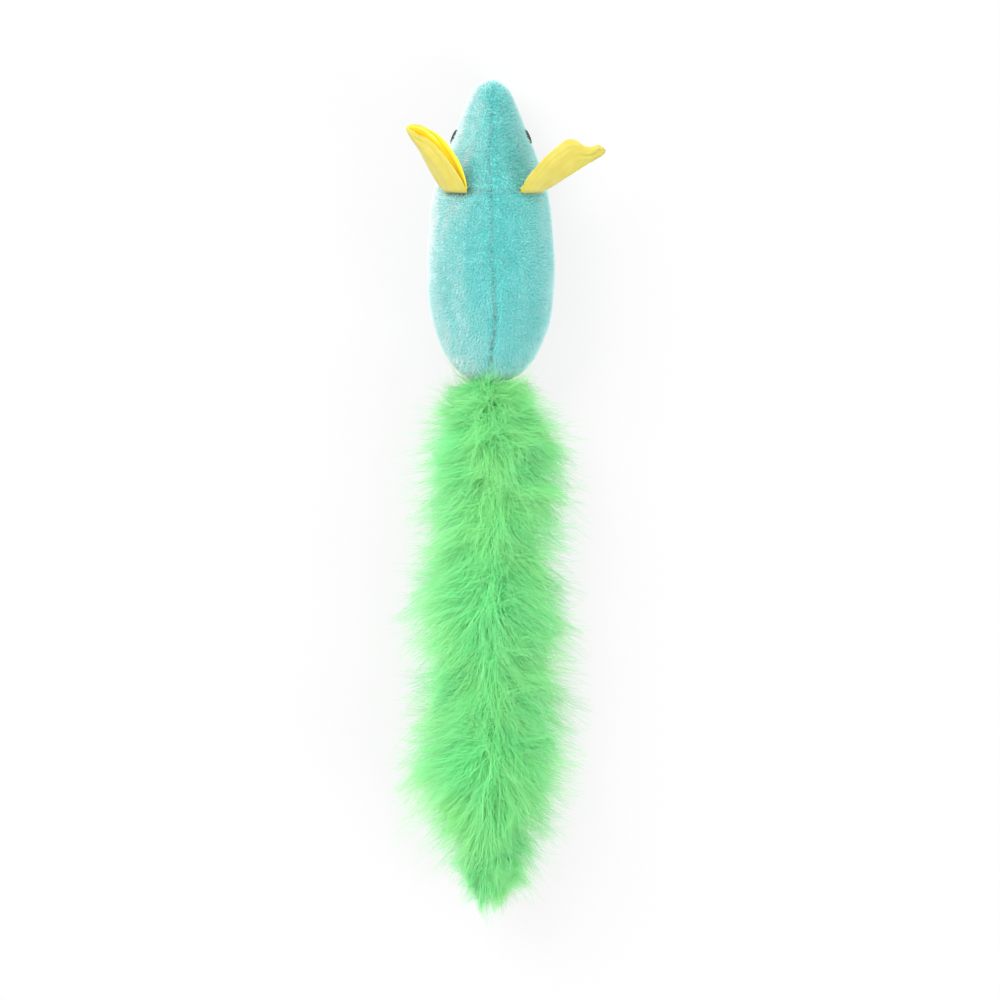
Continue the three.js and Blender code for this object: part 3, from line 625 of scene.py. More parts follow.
def belly_seam_turn(parameter):
    """How far round the body the belly seam lies, from its line as seen from the side."""
    nose, rump = body_point(0.0, 0.0), body_point(1.0, 0.0)
    low = BODY_HEIGHT * SEAM_LOW_SHARE
    front = (NOSE_Y + BODY_LENGTH * SEAM_FRONT_SHARE, low)
    rear = (RUMP_Y - BODY_LENGTH * SEAM_REAR_SHARE, low)
    a, b, c, d = np.array([nose[1:], front, rear, rump[1:]])
    t = np.linspace(0, 1, 400)[:, None]
    line = (1 - t)**3 * a + 3 * (1 - t)**2 * t * b + 3 * (1 - t) * t**2 * c + t**3 * d
    target = np.interp(body_point(parameter, 0.0)[..., 1], line[:, 0], line[:, 1])
    low, high = np.zeros_like(parameter), np.ones_like(parameter)
    for _ in range(20):
        middle = (low + high) / 2
        above = body_point(parameter, middle)[..., 2] > target
        low, high = np.where(above, middle, low), np.where(above, high, middle)
    return low


def back_seam_turn(parameter):
    """Where the back seam lies, a little left or right of the middle."""
    along, width = np.moveaxis(swell_at(parameter)[..., :2], -1, 0)
    places, shifts = np.array(SEAM_WANDER_SHARES).T
    shift = np.interp(along, places, shifts) / np.maximum(width, 0.2)
    return np.arcsin(np.clip(shift, -0.4, 0.4)) / math.pi


def grid_normals(points):
    across = np.gradient(points, axis=1)
    along = np.gradient(points, axis=0)
    normals = np.cross(along, across)
    return normals / np.maximum(np.linalg.norm(normals, axis=-1, keepdims=True), 1e-12)


def uneven(points, scale, seed):
    """Smooth noise at each point, from -1 to 1."""
    flat = points.reshape(-1, 3) * scale + seed
    return np.array([noise.noise(Vector(point)) for point in flat]).reshape(points.shape[:-1])


def bell(distance, width):
    """1 at no distance, and less and less on both sides."""
    return np.exp(-(distance / width) ** 2)


def panel_points(turns_from, turns_to, parameter, columns, settings, inset, seams):
    """Outer face of one panel as a grid, with its seam valleys, the nape dart and the stuffing's lumps."""
    share = 0.5 - 0.5 * np.cos(np.linspace(0, math.pi, columns))
    turn = turns_from[:, None] + (turns_to - turns_from)[:, None] * share
    points = body_point(parameter[:, None], turn, inset)
    points[..., 1] -= NOSE_DRAW * np.exp(-(points[..., 1] - NOSE_Y) / NOSE_FADE)
    normals = grid_normals(points)
    centre = body_point(parameter, 0.5, inset) * (0, 1, 1)
    normals *= np.sign((normals * (points - centre[:, None])).sum(-1).mean())
    steps = np.linalg.norm(np.diff(points, axis=1), axis=-1)
    from_first = np.concatenate([np.zeros((len(parameter), 1)), np.cumsum(steps, axis=1)], axis=1)
    from_last = from_first[:, -1:] - from_first
    girth = np.minimum(1, from_first[:, -1:] / FULL_SEAM_GIRTH)
    along = (points[..., 1] - NOSE_Y) / BODY_LENGTH
    rise = uneven(points, 70.0, 3.0) * settings.lump + uneven(points, 210.0, 9.0) * settings.lump * 0.4
    shallow = 0.5 + 0.5 * np.clip((along - DART_SHARE) * 8, 0, 1)
    for distance, seam in ((from_first, seams[0]), (from_last, seams[1])):
        slope = np.exp(-distance / (3 * settings.seam_width))
        valley = 0.72 * bell(distance, settings.seam_width) + 0.28 * slope
        rise -= girth * shallow * settings.seam_depth * valley
        rise += girth * STITCH_RISE * slope * np.cos(points[..., 1] / STITCH_PITCH * 2 * math.pi)
        for dip in CLOSING_DIP_SHARES if seam == "back" else ():
            away = ((along - dip) * BODY_LENGTH) ** 2 + (distance * 0.8) ** 2
            rise -= CLOSING_DIP_DEPTH * np.exp(-away / CLOSING_DIP_WIDTH**2)
    if "back" in seams:
        reach = np.clip((DART_END_TURN + 0.06 - np.abs(turn)) / 0.12, 0, 1)
        rise -= DART_DEPTH * bell((along - DART_SHARE) * BODY_LENGTH, DART_WIDTH) * reach
        across, lengthwise = (bell(points[..., i] - CREASE_PLACE[i], CREASE_REACH[i]) for i in range(2))
        rise -= CREASE_DEPTH * (lengthwise * across)
    points = points + normals * rise[..., None]
    points[..., 2] = np.maximum(points[..., 2], inset * 0.5)
    return points, normals


PANELS = {
    "left": ("side_panel_left", 1, ("back", "belly")),
    "right": ("side_panel_right", -1, ("back", "belly")),
    "belly": ("belly_panel", 0, ("belly", "belly")),
}


def panel_grid(side, settings, gap=0.0001, rows=170, columns=46):
    """Points and normals of one panel's backing cloth; `gap` is left free along its seams."""
    parameter = np.linspace(NOSE_END, 1 - RUMP_END, rows)
    width = HALF_WIDTH * swell_at(parameter)[:, 1]
    gap = gap / (math.pi * np.maximum(width, 0.002))
    belly_turn = belly_seam_turn(parameter)
    _, sign, seams = PANELS[side]
    start, end = belly_turn + gap, 2 - belly_turn - gap
    if sign:
        start, end = back_seam_turn(parameter) + sign * gap, sign * (belly_turn - gap)
    return panel_points(start, end, parameter, columns, settings, settings.skin_inset, seams)


# Meshes

@contextmanager
def editing(mesh):
    """The mesh as a bmesh, which is put back when the block ends."""
    work = bmesh.new()
    work.from_mesh(mesh)
    work.verts.ensure_lookup_table()
    yield work
    work.to_mesh(mesh)
    work.free()


def grid_mesh(name, points, wrap=False, attributes=None):
    """A mesh on a grid of points, with a UV map along its columns and rows."""
    rows, columns = points.shape[:2]
    index = np.arange(rows * columns).reshape(rows, columns)
    around = np.concatenate([index, index[:, :1]], axis=1) if wrap else index
    quads = np.stack([around[:-1, :-1], around[:-1, 1:], around[1:, 1:], around[1:, :-1]], axis=-1)
    mesh = bpy.data.meshes.new(name)
    mesh.from_pydata(points.reshape(-1, 3).tolist(), [], quads.reshape(-1, 4).tolist())
    corners = np.zeros(len(mesh.loops), np.int32)
    mesh.loops.foreach_get("vertex_index", corners)
    uv = np.stack([corners % columns / columns, corners // columns / rows], axis=-1)
    mesh.uv_layers.new(name="grid").data.foreach_set("uv", uv.astype(np.float32).ravel())
    for label, values in (attributes or {}).items():
        layer = mesh.attributes.new(label, "FLOAT", "POINT")
        layer.data.foreach_set("value", values.astype(np.float32).ravel())
    mesh.update()
    return mesh


def outward(mesh):
    """Turns a closed mesh's faces out and closes small seams."""
    with editing(mesh) as work:
        bmesh.ops.remove_doubles(work, verts=work.verts, dist=1e-7)
        bmesh.ops.recalc_face_normals(work, faces=work.faces)
    mesh.update()


def face_along(mesh, points, normals):
    """Turns the mesh's faces the way the normals point."""
    middle = mesh.polygons[len(mesh.polygons) // 2]
    near = np.linalg.norm(points.reshape(-1, 3) - np.array(middle.center), axis=1).argmin()
    if Vector(normals.reshape(-1, 3)[near]).dot(middle.normal) < 0:
        mesh.flip_normals()


def finish_piece(made, material):
    """Gives a piece its material and smooth faces."""
    mesh = made.data
    if not mesh.materials:
        mesh.materials.append(material)
    mesh.polygons.foreach_set("use_smooth", [True] * len(mesh.polygons))
    mesh.update()


def piece(mesh, material, body, cad_node):
    """A new piece that rides on a body and stands for its node."""
    made = linked(mesh.name, mesh)
    finish_piece(made, material)
    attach(made, body)
    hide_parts(cad_node)
    return made


def modified(made, kind, **settings):
    """Applies a modifier to a piece."""
    modifier = made.modifiers.new(kind.lower(), kind)
    for name, value in settings.items():
        setattr(modifier, name, value)
    mesh = bpy.data.meshes.new_from_object(made.evaluated_get(bpy.context.evaluated_depsgraph_get()))
    made.modifiers.clear()
    made.data = mesh


# Trees that grow pieces

def nap_tree():
    """Short pile fibres that stand on a surface and lean toward the rear."""
    tree, given = geometry_tree("pile", {
        "Fibres": 1000, "Area": 0.004, "Length": 0.0017, "Width": 0.00026, "Lean": 0.35, "Clump": 0.0009,
        "Seed": 1,
    })
    length, seed = given["Length"], given["Seed"]
    density = given["Fibres"] / given["Area"]
    spread = node(tree, "GeometryNodeDistributePointsOnFaces",
                  {"Mesh": given["Geometry"], "Density": density, "Seed": seed}, distribute_method="RANDOM")
    number = field(tree, "GeometryNodeInputIndex")
    here = field(tree, "GeometryNodeInputPosition")
    inputs = {"Vector": here, "Scale": 1 / given["Clump"]}
    clump = field(tree, "ShaderNodeTexVoronoi", inputs, output="Position")
    clump = vectors(tree, "SCALE", vectors(tree, "SUBTRACT", clump, here), 0.8 / length)
    jitter = combine(tree, *(random(tree, -0.4, 0.4, number, seed + i) for i in (11, 12, 13)))
    lay = combine(tree, 0.0, given["Lean"], -0.1)
    direction = Field(tree, spread.outputs["Normal"])
    for part in (stirred(tree, 320.0, 2.0), clump, jitter, lay):
        direction = vectors(tree, "ADD", direction, part)
    turn = field(tree, "FunctionNodeAlignRotationToVector", {"Vector": direction}, axis="Z")
    cone = node(tree, "GeometryNodeMeshCone", {
        "Vertices": 3, "Radius Top": 0.0, "Radius Bottom": given["Width"] / 2, "Depth": length,
    }, fill_type="NGON")
    height = field(tree, "ShaderNodeSeparateXYZ", {0: field(tree, "GeometryNodeInputPosition")}, output="Z")
    fibre = stored(tree, cone, "rise", height / length)
    feet = stored(tree, spread, "tint", random(tree, 0.0, 1.0, number, seed + 6))
    size = random(tree, 0.7, 1.1, number, seed + 5)
    fibres = node(tree, "GeometryNodeInstanceOnPoints", {
        "Points": feet, "Instance": fibre, "Rotation": turn, "Scale": size,
    })
    end_tree(tree, fibres, given)
    return tree


def plume_tree():
    """Strands of down in tufts on a length of cord, swept out and back, lying on the floor below."""
    tree, given = geometry_tree("down", {
        "Strands": 1000, "Tuft": 20, "Points": 5, "Start": 0.0, "End": 0.03, "Height": 0.018, "Cord": 0.0015,
        "Reach": 0.021, "Tail Start": 0.0, "Tail End": 0.2, "Width": 0.00016, "Seed": 1,
    })
    curves, strand, s = strands(tree, given["Strands"], given["Points"])
    tuft = (strand / given["Tuft"]).math("FLOOR")
    tufts = (given["Strands"] / given["Tuft"]).math("CEIL")

    def draw(low, high, number, step):
        """A random value for each strand or tuft; every draw has a step of its own."""
        return random(tree, low, high, number, given["Seed"] + step)

    # Where a tuft grows and which way it points
    share = (tuft + draw(0.0, 1.0, tuft, 0)) / tufts
    root = given["Start"] + (given["End"] - given["Start"]) * share
    whole = (root - given["Tail Start"]) / (given["Tail End"] - given["Tail Start"])
    full = node(tree, "ShaderNodeFloatCurve", {"Value": whole})
    shape_curve(full.mapping, FULLNESS_SHARES)
    reach = given["Reach"] * Field(tree, full.outputs[0])
    angle = draw(0.0, 2 * math.pi, tuft, 1) + draw(-0.7, 0.7, strand, 2)
    sine, cosine = angle.math("SINE"), angle.math("COSINE")
    lobes = noise_at(tree, 55.0, 1.0, combine(tree, root, cosine * 0.006, sine * 0.004))
    reach = reach * (0.5 + lobes)
    forward = ((root - given["Tail Start"]) * -240).math("EXPONENT").math("MINIMUM", 1.2)
    rearward = (whole * 7 - 6).math("MAXIMUM", 0.0)
    above = sine.math("MAXIMUM", 0.0) ** 3
    sweep = draw(0.0, 0.85, tuft, 3) + draw(-0.25, 0.25, strand, 4)
    sweep = sweep * (1 + rearward * 0.4) + above * (1 - forward) * draw(-0.5, 0.9, tuft, 11)
    sweep = sweep - forward * draw(0.1, 0.85, tuft, 17)
    wispy = draw(0.0, 1.0, strand, 19) ** 14 * 0.3
    size = draw(0.8, 1.06, tuft, 5) * (draw(0.78, 1.0, strand, 6) + wispy)
    closing = rearward * draw(0.0, 1.0, tuft, 18)
    reach_out = reach * (size * (1 - closing * 0.75))
    sweep = sweep + closing * closing * 0.8

    # Tufts on top fall to either side; those below lie out along the floor
    lean = (draw(-1.0, 1.0, tuft, 12) + cosine * 0.9) * (1 - forward * 0.6)
    branch = draw(0.0, 0.4, strand, 13)
    out = given["Cord"] * 0.8 + reach_out * (branch + (1 - branch) * (s - s * s * 0.12))
    side = lean * sine.math("ABSOLUTE") * reach_out * (s ** 2) * 0.7
    sway = (draw(-1.0, 1.0, strand, 7) + draw(-1.0, 1.0, tuft, 8) * 0.8) * ((s ** 1.6) * reach * 0.16)
    x = cosine * out + side + sway * sine
    x = x.math("SMOOTH_MIN", FLUFF_EDGE, 0.008).math("SMOOTH_MAX", -FLUFF_EDGE, 0.008)
    y = root + draw(-0.003, 0.003, strand, 9) + reach * sweep * (s * 0.35 + s * s * 0.45)
    fall = (s ** 2) * reach * (0.1 + above * 0.28)
    z = given["Height"] + sine * out * (0.95 + above * 0.13) - fall - sway * cosine
    z = z.math("SMOOTH_MAX", draw(0.0003, 0.004, strand, 10), 0.002)
    place = combine(tree, x, y, z)
    wisp = vectors(tree, "SCALE", stirred(tree, 115.0, 1.0, Vector=place), s * 0.013)
    place = vectors(tree, "ADD", place, wisp)
    place = vectors(tree, "MINIMUM", place, (FLUFF_LIMIT, 1.0, 1.0))
    place = vectors(tree, "MAXIMUM", place, (-FLUFF_LIMIT, -1.0, 0.0002))

    moved = node(tree, "GeometryNodeSetPosition", {"Geometry": curves, "Position": place})
    rising = stored(tree, moved, "rise", s)
    tinted = stored(tree, rising, "tint", draw(-0.5, 1.0, tuft, 14) + draw(-0.3, 0.3, strand, 15))
    taper = (1 - s * 0.7) * draw(0.6, 1.15, strand, 16)
    end_in_tubes(tree, tinted, 3, given["Width"] / 2, given, Scale=taper)
    return tree


def shape_curve(mapping, shares):
    """Sets a float curve through a table of places and values."""
    curve = mapping.curves[0]
    while len(curve.points) < len(shares):
        curve.points.new(0.5, 0.5)
    for point, (place, value) in zip(curve.points, shares):
        point.location = (place, value)
    mapping.update()


def cord_tree():
    """A cord of plies twisted together, along +Y."""
    tree, given = geometry_tree("twisted_cord", {
        "Start": 0.0, "End": 0.03, "Height": 0.018, "Radius": 0.0015, "Plies": 3, "Lay": 0.007, "Points": 60,
    })
    curves, ply, s = strands(tree, given["Plies"], given["Points"])
    y = given["Start"] + (given["End"] - given["Start"]) * s
    angle = (ply / given["Plies"] + y / given["Lay"]) * (2 * math.pi)
    ring = given["Radius"] * 0.46
    place = combine(tree, angle.math("COSINE") * ring, y, given["Height"] + angle.math("SINE") * ring)
    moved = node(tree, "GeometryNodeSetPosition", {"Geometry": curves, "Position": place})
    end_in_tubes(tree, moved, 10, given["Radius"] * 0.5, given)
    return tree


def stitch_tree():
    """A thread along the curve of a mesh's edges."""
    tree, given = geometry_tree("thread", {"Radius": 0.0003})
    path = node(tree, "GeometryNodeMeshToCurve", {"Mesh": given["Geometry"]})
    end_in_tubes(tree, path, 8, given["Radius"], given)
    return tree


# Ears

EAR_LENGTH = 0.026
EAR_HALF_WIDTH = 0.0094
EAR_CLIMB = math.radians(30)
EAR_ROOT_DROP = 0.0006
EAR_TAB_DEPTH = 0.0045
EAR_ROOT_LIFT = 0.0019
EAR_ROOT_HALF = 0.00055  # each rim starts this far from the middle of the root
EAR_FOLD_BULGE = 0.17  # how far each half bulges, as a share of its width
EAR_TAB_HALF = 0.00045
EAR_HEEL_FRONT = 0.0011  # the heel stays this far before the dart
EAR_ROOT_BACK = 0.0003  # and the root no farther behind it
EAR_BEND_HEIGHTS = (-0.0016, 0.0004)  # below and above the root line
EARS = {
    "left": {
        "side": 1,
        "root_turns": (0.12, 0.33),
        "gather": 0.0027,
        "heading": math.radians(59.5),
        "upper_rim_shares": [
            (0.13, 0.73, 0.68), (0.28, 0.71, 0.63), (0.43, 0.68, 0.59), (0.57, 0.62, 0.52),
            (0.7, 0.54, 0.41), (0.81, 0.38, 0.3), (0.9, 0.18, 0.21), (0.99, 0.06, 0.05),
        ],
        "lower_rim_shares": [
            (0.08, 0.86, 0.57), (0.21, 0.94, 0.39), (0.36, 0.97, 0.25), (0.52, 0.95, 0.14),
            (0.67, 0.86, 0.07), (0.8, 0.71, 0.03), (0.91, 0.5, 0.03), (1.01, 0.17, 0.01),
        ],
    },
    "right": {
        "side": -1,
        "root_turns": (0.15, 0.38),
        "gather": 0.0032,
        "heading": math.radians(31.5),
        "upper_rim_shares": [
            (0.08, 0.64, 0.99), (0.26, 0.8, 0.91), (0.43, 0.93, 0.83), (0.6, 1.01, 0.7), (0.73, 1.04, 0.52),
            (0.81, 0.88, 0.37), (0.86, 0.55, 0.29), (0.93, 0.39, 0.22), (1, 0.31, 0.11), (1.02, 0.05, -0.02),
        ],
        "lower_rim_shares": [
            (0.01, 0.58, 0.69), (0.11, 0.68, 0.45), (0.22, 0.74, 0.25), (0.34, 0.75, 0.1),
            (0.47, 0.73, 0.01), (0.59, 0.65, -0.04), (0.7, 0.53, -0.03), (0.82, 0.38, -0.01),
            (0.92, 0.21, 0), (1, 0.01, -0.01),
        ],
    },
}


def unit(vectors_in):
    return vectors_in / np.linalg.norm(vectors_in, axis=-1, keepdims=True)


def ear_frame(ear):
    """The ear's root line above the dart and the directions of its keel."""
    dart = parameter_at(DART_SHARE)
    inner, outer = (body_point(dart, turn * ear["side"]) for turn in ear["root_turns"])
    middle = body_point(dart, ear["side"] * sum(ear["root_turns"]) / 2)
    width = np.linalg.norm(outer - inner)
    line = unit(outer - inner)
    forward = np.array((0.0, -1.0, 0.0))
    up = np.cross(forward, line) * ear["side"]
    root = inner + up * ((middle - inner) @ up + EAR_ROOT_LIFT)
    keel = np.array((
        ear["side"] * math.cos(ear["heading"]) * math.cos(EAR_CLIMB),
        -math.sin(ear["heading"]) * math.cos(EAR_CLIMB),
        math.sin(EAR_CLIMB),
    ))
    lift = unit(np.array((0, 0, 1)) - keel * keel[2])
    opening = np.cross(lift, keel) * -ear["side"]
    return root, line, width, forward, up, keel, lift, opening


def ear_sheet(ear, rows=60, columns=49):
    """The folded leaf's middle surface, from its sewn root to its tip."""
    root, line, width, forward, up, keel, lift, opening = ear_frame(ear)
    heel = root + line * (width - ear["gather"])
    share = np.linspace(0, 1, rows)
    rims = []
    for which, shares in ((1, ear["upper_rim_shares"]), (-1, ear["lower_rim_shares"])):
        start = root - up * EAR_ROOT_DROP * 2.6 - forward * which * EAR_ROOT_HALF
        points = [heel + keel * EAR_LENGTH * a + opening * EAR_HALF_WIDTH * b + lift * EAR_HALF_WIDTH * c
                  for a, b, c in shares]
        rims.append(catmull([start, *points], share))
    low, tip = heel - up * EAR_ROOT_DROP * 2, heel + keel * EAR_LENGTH
    fold = low * (1 - share)[:, None] + tip * share[:, None]
    spread = (rims[0] + rims[1]) / 2 - fold
    halves = []
    for rim in rims:
        chord = rim - fold
        bulge = np.linalg.norm(chord, axis=1, keepdims=True) * EAR_FOLD_BULGE
        halves.append((rim + fold) / 2 + unit(chord - spread) * bulge)
    section = np.stack([rims[0], halves[0], fold, halves[1], rims[1]])
    return np.array([catmull(section[:, i], np.linspace(0, 1, columns)) for i in range(rows)])


def ear_mesh(name, ear, settings):
    """One ear: the folded leaf with its wrinkles, its tab down in the dart, and its thickness."""
    root, line, width, forward, up = ear_frame(ear)[:5]
    points = ear_sheet(ear)
    rows, columns = points.shape[:2]
    along = np.linspace(0, 1, rows)[:, None]
    across = np.linspace(-1, 1, columns)[None, :]
    pleats = np.cos(across * 17 + along * 5) * np.exp(-along * 4.5)
    cloth = np.stack([across + 0 * along, 0.4 * along + 0 * across, 0 * along * across], axis=-1)
    creases = uneven(cloth, 5.0, 4.0 + ear["side"]) + 0.5 * uneven(cloth, 11.0, 8.0)
    free = np.clip(along * 8, 0, 1)
    wrinkles = free * settings.wrinkle * (0.5 * pleats + 1.4 * creases)
    points = points + grid_normals(points) * wrinkles[..., None]

    # Nothing of the leaf reaches back over the dart
    behind = (points - root) @ forward
    limit = EAR_HEEL_FRONT * np.clip((points - root) @ line / width, 0, 1) - EAR_ROOT_BACK
    points = points - forward * np.minimum(behind - limit, 0)[..., None] * 0.9

    tab_rows = []
    for share in (1, 0.6, 0.25):
        inward = points[0] - np.array((0, 0, EAR_TAB_DEPTH * share))
        flat = inward - forward * ((inward - root) @ forward)[:, None]
        tab_rows.append(flat - forward * np.linspace(1, -1, columns)[:, None] * EAR_TAB_HALF)
    points = np.concatenate([np.array(tab_rows), points])
    normals = grid_normals(points)
    edge = np.abs(np.linspace(-1, 1, columns)) ** 10
    thick = settings.cloth / 2 * np.sqrt(np.clip(1 - edge, 0.02, 1))
    end = np.ones(len(points))
    end[-4:] = (0.9, 0.75, 0.5, 0.15)
    offset = normals * (thick[None, :] * end[:, None])[..., None]
    ring = np.concatenate([points + offset, (points - offset)[:, ::-1]], axis=1)
    # Mask of the fold's inside faces, which carry the fold's painted light.
    spread = (points[:, 0] + points[:, -1]) / 2 - points[:, columns // 2]
    inner = ((normals * spread[:, None]).sum(-1) > 0).mean() > 0.5
    sides = np.repeat([float(inner), float(not inner)], columns)
    mesh = grid_mesh(name, ring, wrap=True, attributes={"inner": np.broadcast_to(sides, ring.shape[:2])})
    with editing(mesh) as work:
        bmesh.ops.holes_fill(work, edges=[each for each in work.edges if each.is_boundary], sides=0)
    outward(mesh)
    return mesh


# Operators

class CATNIP_OT_stage(bpy.types.Operator):
    """White floor and backdrop, soft lamps, and the camera straight above the toy"""

    bl_idname = "catnip.stage"
    bl_label = "Stage"

    def execute(self, context):
        settings = context.scene.catnip_stage
        context.scene.view_settings.view_transform = "Standard"
        data = bpy.data.cameras.new("camera")
        data.lens = data.sensor_width * (settings.camera_height - FIRST_BEND.z) / settings.field
        camera = linked("camera", data)
        camera.location = (settings.view_x, settings.view_y, settings.camera_height)
        camera.rotation_euler = (0, 0, math.pi)
        context.scene.camera = camera
        middle = Vector((0, settings.view_y, 0))
        self.lamp("key_lamp", middle, (0.8, -0.8, 0.95), 0.9, settings.key_power)
        self.lamp("fill_lamp", middle, (-0.9, 0.6, 0.8), 0.6, settings.fill_power)
        context.scene.world = self.backdrop(settings)
        self.floor()
        return {"FINISHED"}

    def lamp(self, name, middle, away, size, power):
        """A square lamp that shines on the middle of the toy."""
        data = bpy.data.lights.new(name, "AREA")
        data.size = size
        data.energy = power
        lamp = linked(name, data)
        lamp.location = middle + Vector(away)
        aim = middle + Vector((0, 0, TOY_MIDDLE)) - lamp.location
        lamp.rotation_euler = aim.to_track_quat("-Z", "Y").to_euler()

    def backdrop(self, settings):
        world = bpy.data.worlds.new("backdrop")
        world.use_nodes = True
        tree = world.node_tree
        tree.nodes.clear()
        around, behind = (node(tree, "ShaderNodeBackground", {"Color": (1, 1, 1, 1), "Strength": strength})
                          for strength in (settings.ambient, 1.0))
        both = node(tree, "ShaderNodeMixShader", {0: seen_ray(tree), 1: around, 2: behind})
        node(tree, "ShaderNodeOutputWorld", {0: both})
        return world

    def floor(self):
        """A matte floor that glows where it is seen, so it is white and still keeps the toy's shadow."""
        mesh = bpy.data.meshes.new("floor")
        corners = [(x * FLOOR_REACH, y * FLOOR_REACH, 0) for x, y in ((-1, -1), (1, -1), (1, 1), (-1, 1))]
        mesh.from_pydata(corners, [], [(0, 1, 2, 3)])
        material = bpy.data.materials.new("white_floor")
        material.use_nodes = True
        tree = material.node_tree
        tree.nodes.clear()
        seen = seen_ray(tree)
        paint = mixed(tree, seen, FLOOR_COLOR, FLOOR_SEEN_COLOR)
        matte = node(tree, "ShaderNodeBsdfDiffuse", {"Color": paint})
        glow = node(tree, "ShaderNodeEmission", {"Color": (1, 1, 1, 1), "Strength": seen * FLOOR_GLOW})
        node(tree, "ShaderNodeOutputMaterial", {0: node(tree, "ShaderNodeAddShader", {0: matte, 1: glow})})
        mesh.materials.append(material)
        linked("floor", mesh)


def seen_ray(tree):
    """1 for a ray from the camera, or one that a gloss or a clear thing sends on."""
    path = tree.nodes.new("ShaderNodeLightPath")
    seen = Field(tree, path.outputs["Is Camera Ray"])
    for name in ("Is Glossy Ray", "Is Transmission Ray"):
        seen = seen.math("MAXIMUM", Field(tree, path.outputs[name]))
    return seen


class CATNIP_OT_skin(bpy.types.Operator):
    """Backing cloth of the plush body: two side panels and a belly panel with turned-in seams"""

    bl_idname = "catnip.skin"
    bl_label = "Plush Skin"

    def execute(self, context):
        settings = context.scene.catnip_plush
        material = plush_material(settings)
        for side, (cad_node, _, _) in PANELS.items():
            points, normals = panel_grid(side, settings)
            girth = np.linalg.norm(np.diff(points, axis=1), axis=-1).sum(1)
            scale = np.clip(girth / FULL_FLANGE_GIRTH, 0.05, 1)[:, None]
            first = [points[:, 0] - normals[:, 0] * scale * depth for depth in FLANGE_DEPTHS]
            last = [points[:, -1] - normals[:, -1] * scale * depth for depth in reversed(FLANGE_DEPTHS)]
            whole = np.stack([*first, *np.moveaxis(points, 1, 0), *last], axis=1)
            # The backing cloth gets small even values of the pile's masks, so a little of the painted sheen
            # too.
            low = np.full(whole.shape[:2], 0.1)
            mesh = grid_mesh(f"skin_{side}", whole, attributes={"rise": low, "tint": low, "flank_sheen": low})
            face_along(mesh, points, normals)
            made = piece(mesh, material, "mouse", cad_node)
            modified(made, "SOLIDIFY", thickness=settings.cloth, offset=-1)
        return {"FINISHED"}


def eye_seat(sign):
    """Where an eye sits on the pile, with the directions along the body and out of it."""
    parameter = parameter_at(EYE_SHARE)
    turn = EYE_TURN * sign
    along = body_point(parameter + 0.01, turn) - body_point(parameter - 0.01, turn)
    around = body_point(parameter, turn + 0.01) - body_point(parameter, turn - 0.01)
    return body_point(parameter, turn), unit(along), unit(np.cross(around, along))


class CATNIP_OT_pile(bpy.types.Operator):
    """Short plush pile that stands on the three panels"""

    bl_idname = "catnip.pile"
    bl_label = "Plush Pile"

    def execute(self, context):
        settings = context.scene.catnip_plush
        material = bpy.data.materials["aqua_plush"]
        tree = nap_tree()
        for number, side in enumerate(PANELS):
            points, normals = panel_grid(side, settings, gap=0.0)
            across, along, up = np.moveaxis(normals, -1, 0)
            base = grid_mesh(f"pile_{side}", points, attributes={
                # Painted sheen masks: paler where the surface faces sideways or to the rear, and where it
                # faces the key lamp at +X and -Y.
                "flank_sheen": 1 - np.abs(up) + np.maximum(along, 0) * 0.12,
                "key_side_sheen": np.clip(across * (0.9 - np.minimum(along, 0) * 4.5), 0, 1.5),
            })
            face_along(base, points, normals)
            self.clear_eyes(base, context.scene.catnip_eye.diameter * 0.5)
            made = grown(f"pile_{side}", base, tree, {
                "Fibres": settings.pile_count, "Area": sum(face.area for face in base.polygons),
                "Length": settings.pile_length, "Width": settings.pile_width, "Seed": 20 + number,
                "Material": material,
            })
            keep_above_floor(made.data)
            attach(made, "mouse")
        return {"FINISHED"}

    def clear_eyes(self, mesh, radius):
        """Leaves no pile to grow under an eye."""
        seats = [Vector(eye_seat(sign)[0]) for sign in (1, -1)]
        with editing(mesh) as work:
            under = [face for face in work.faces
                     if min((face.calc_center_median() - seat).length for seat in seats) < radius]
            bmesh.ops.delete(work, geom=under, context="FACES")


def keep_above_floor(mesh):
    points = np.zeros(len(mesh.vertices) * 3, np.float32)
    mesh.vertices.foreach_get("co", points)
    points[2::3] = np.maximum(points[2::3], FLOOR_CLEARANCE)
    mesh.vertices.foreach_set("co", points)
    mesh.update()


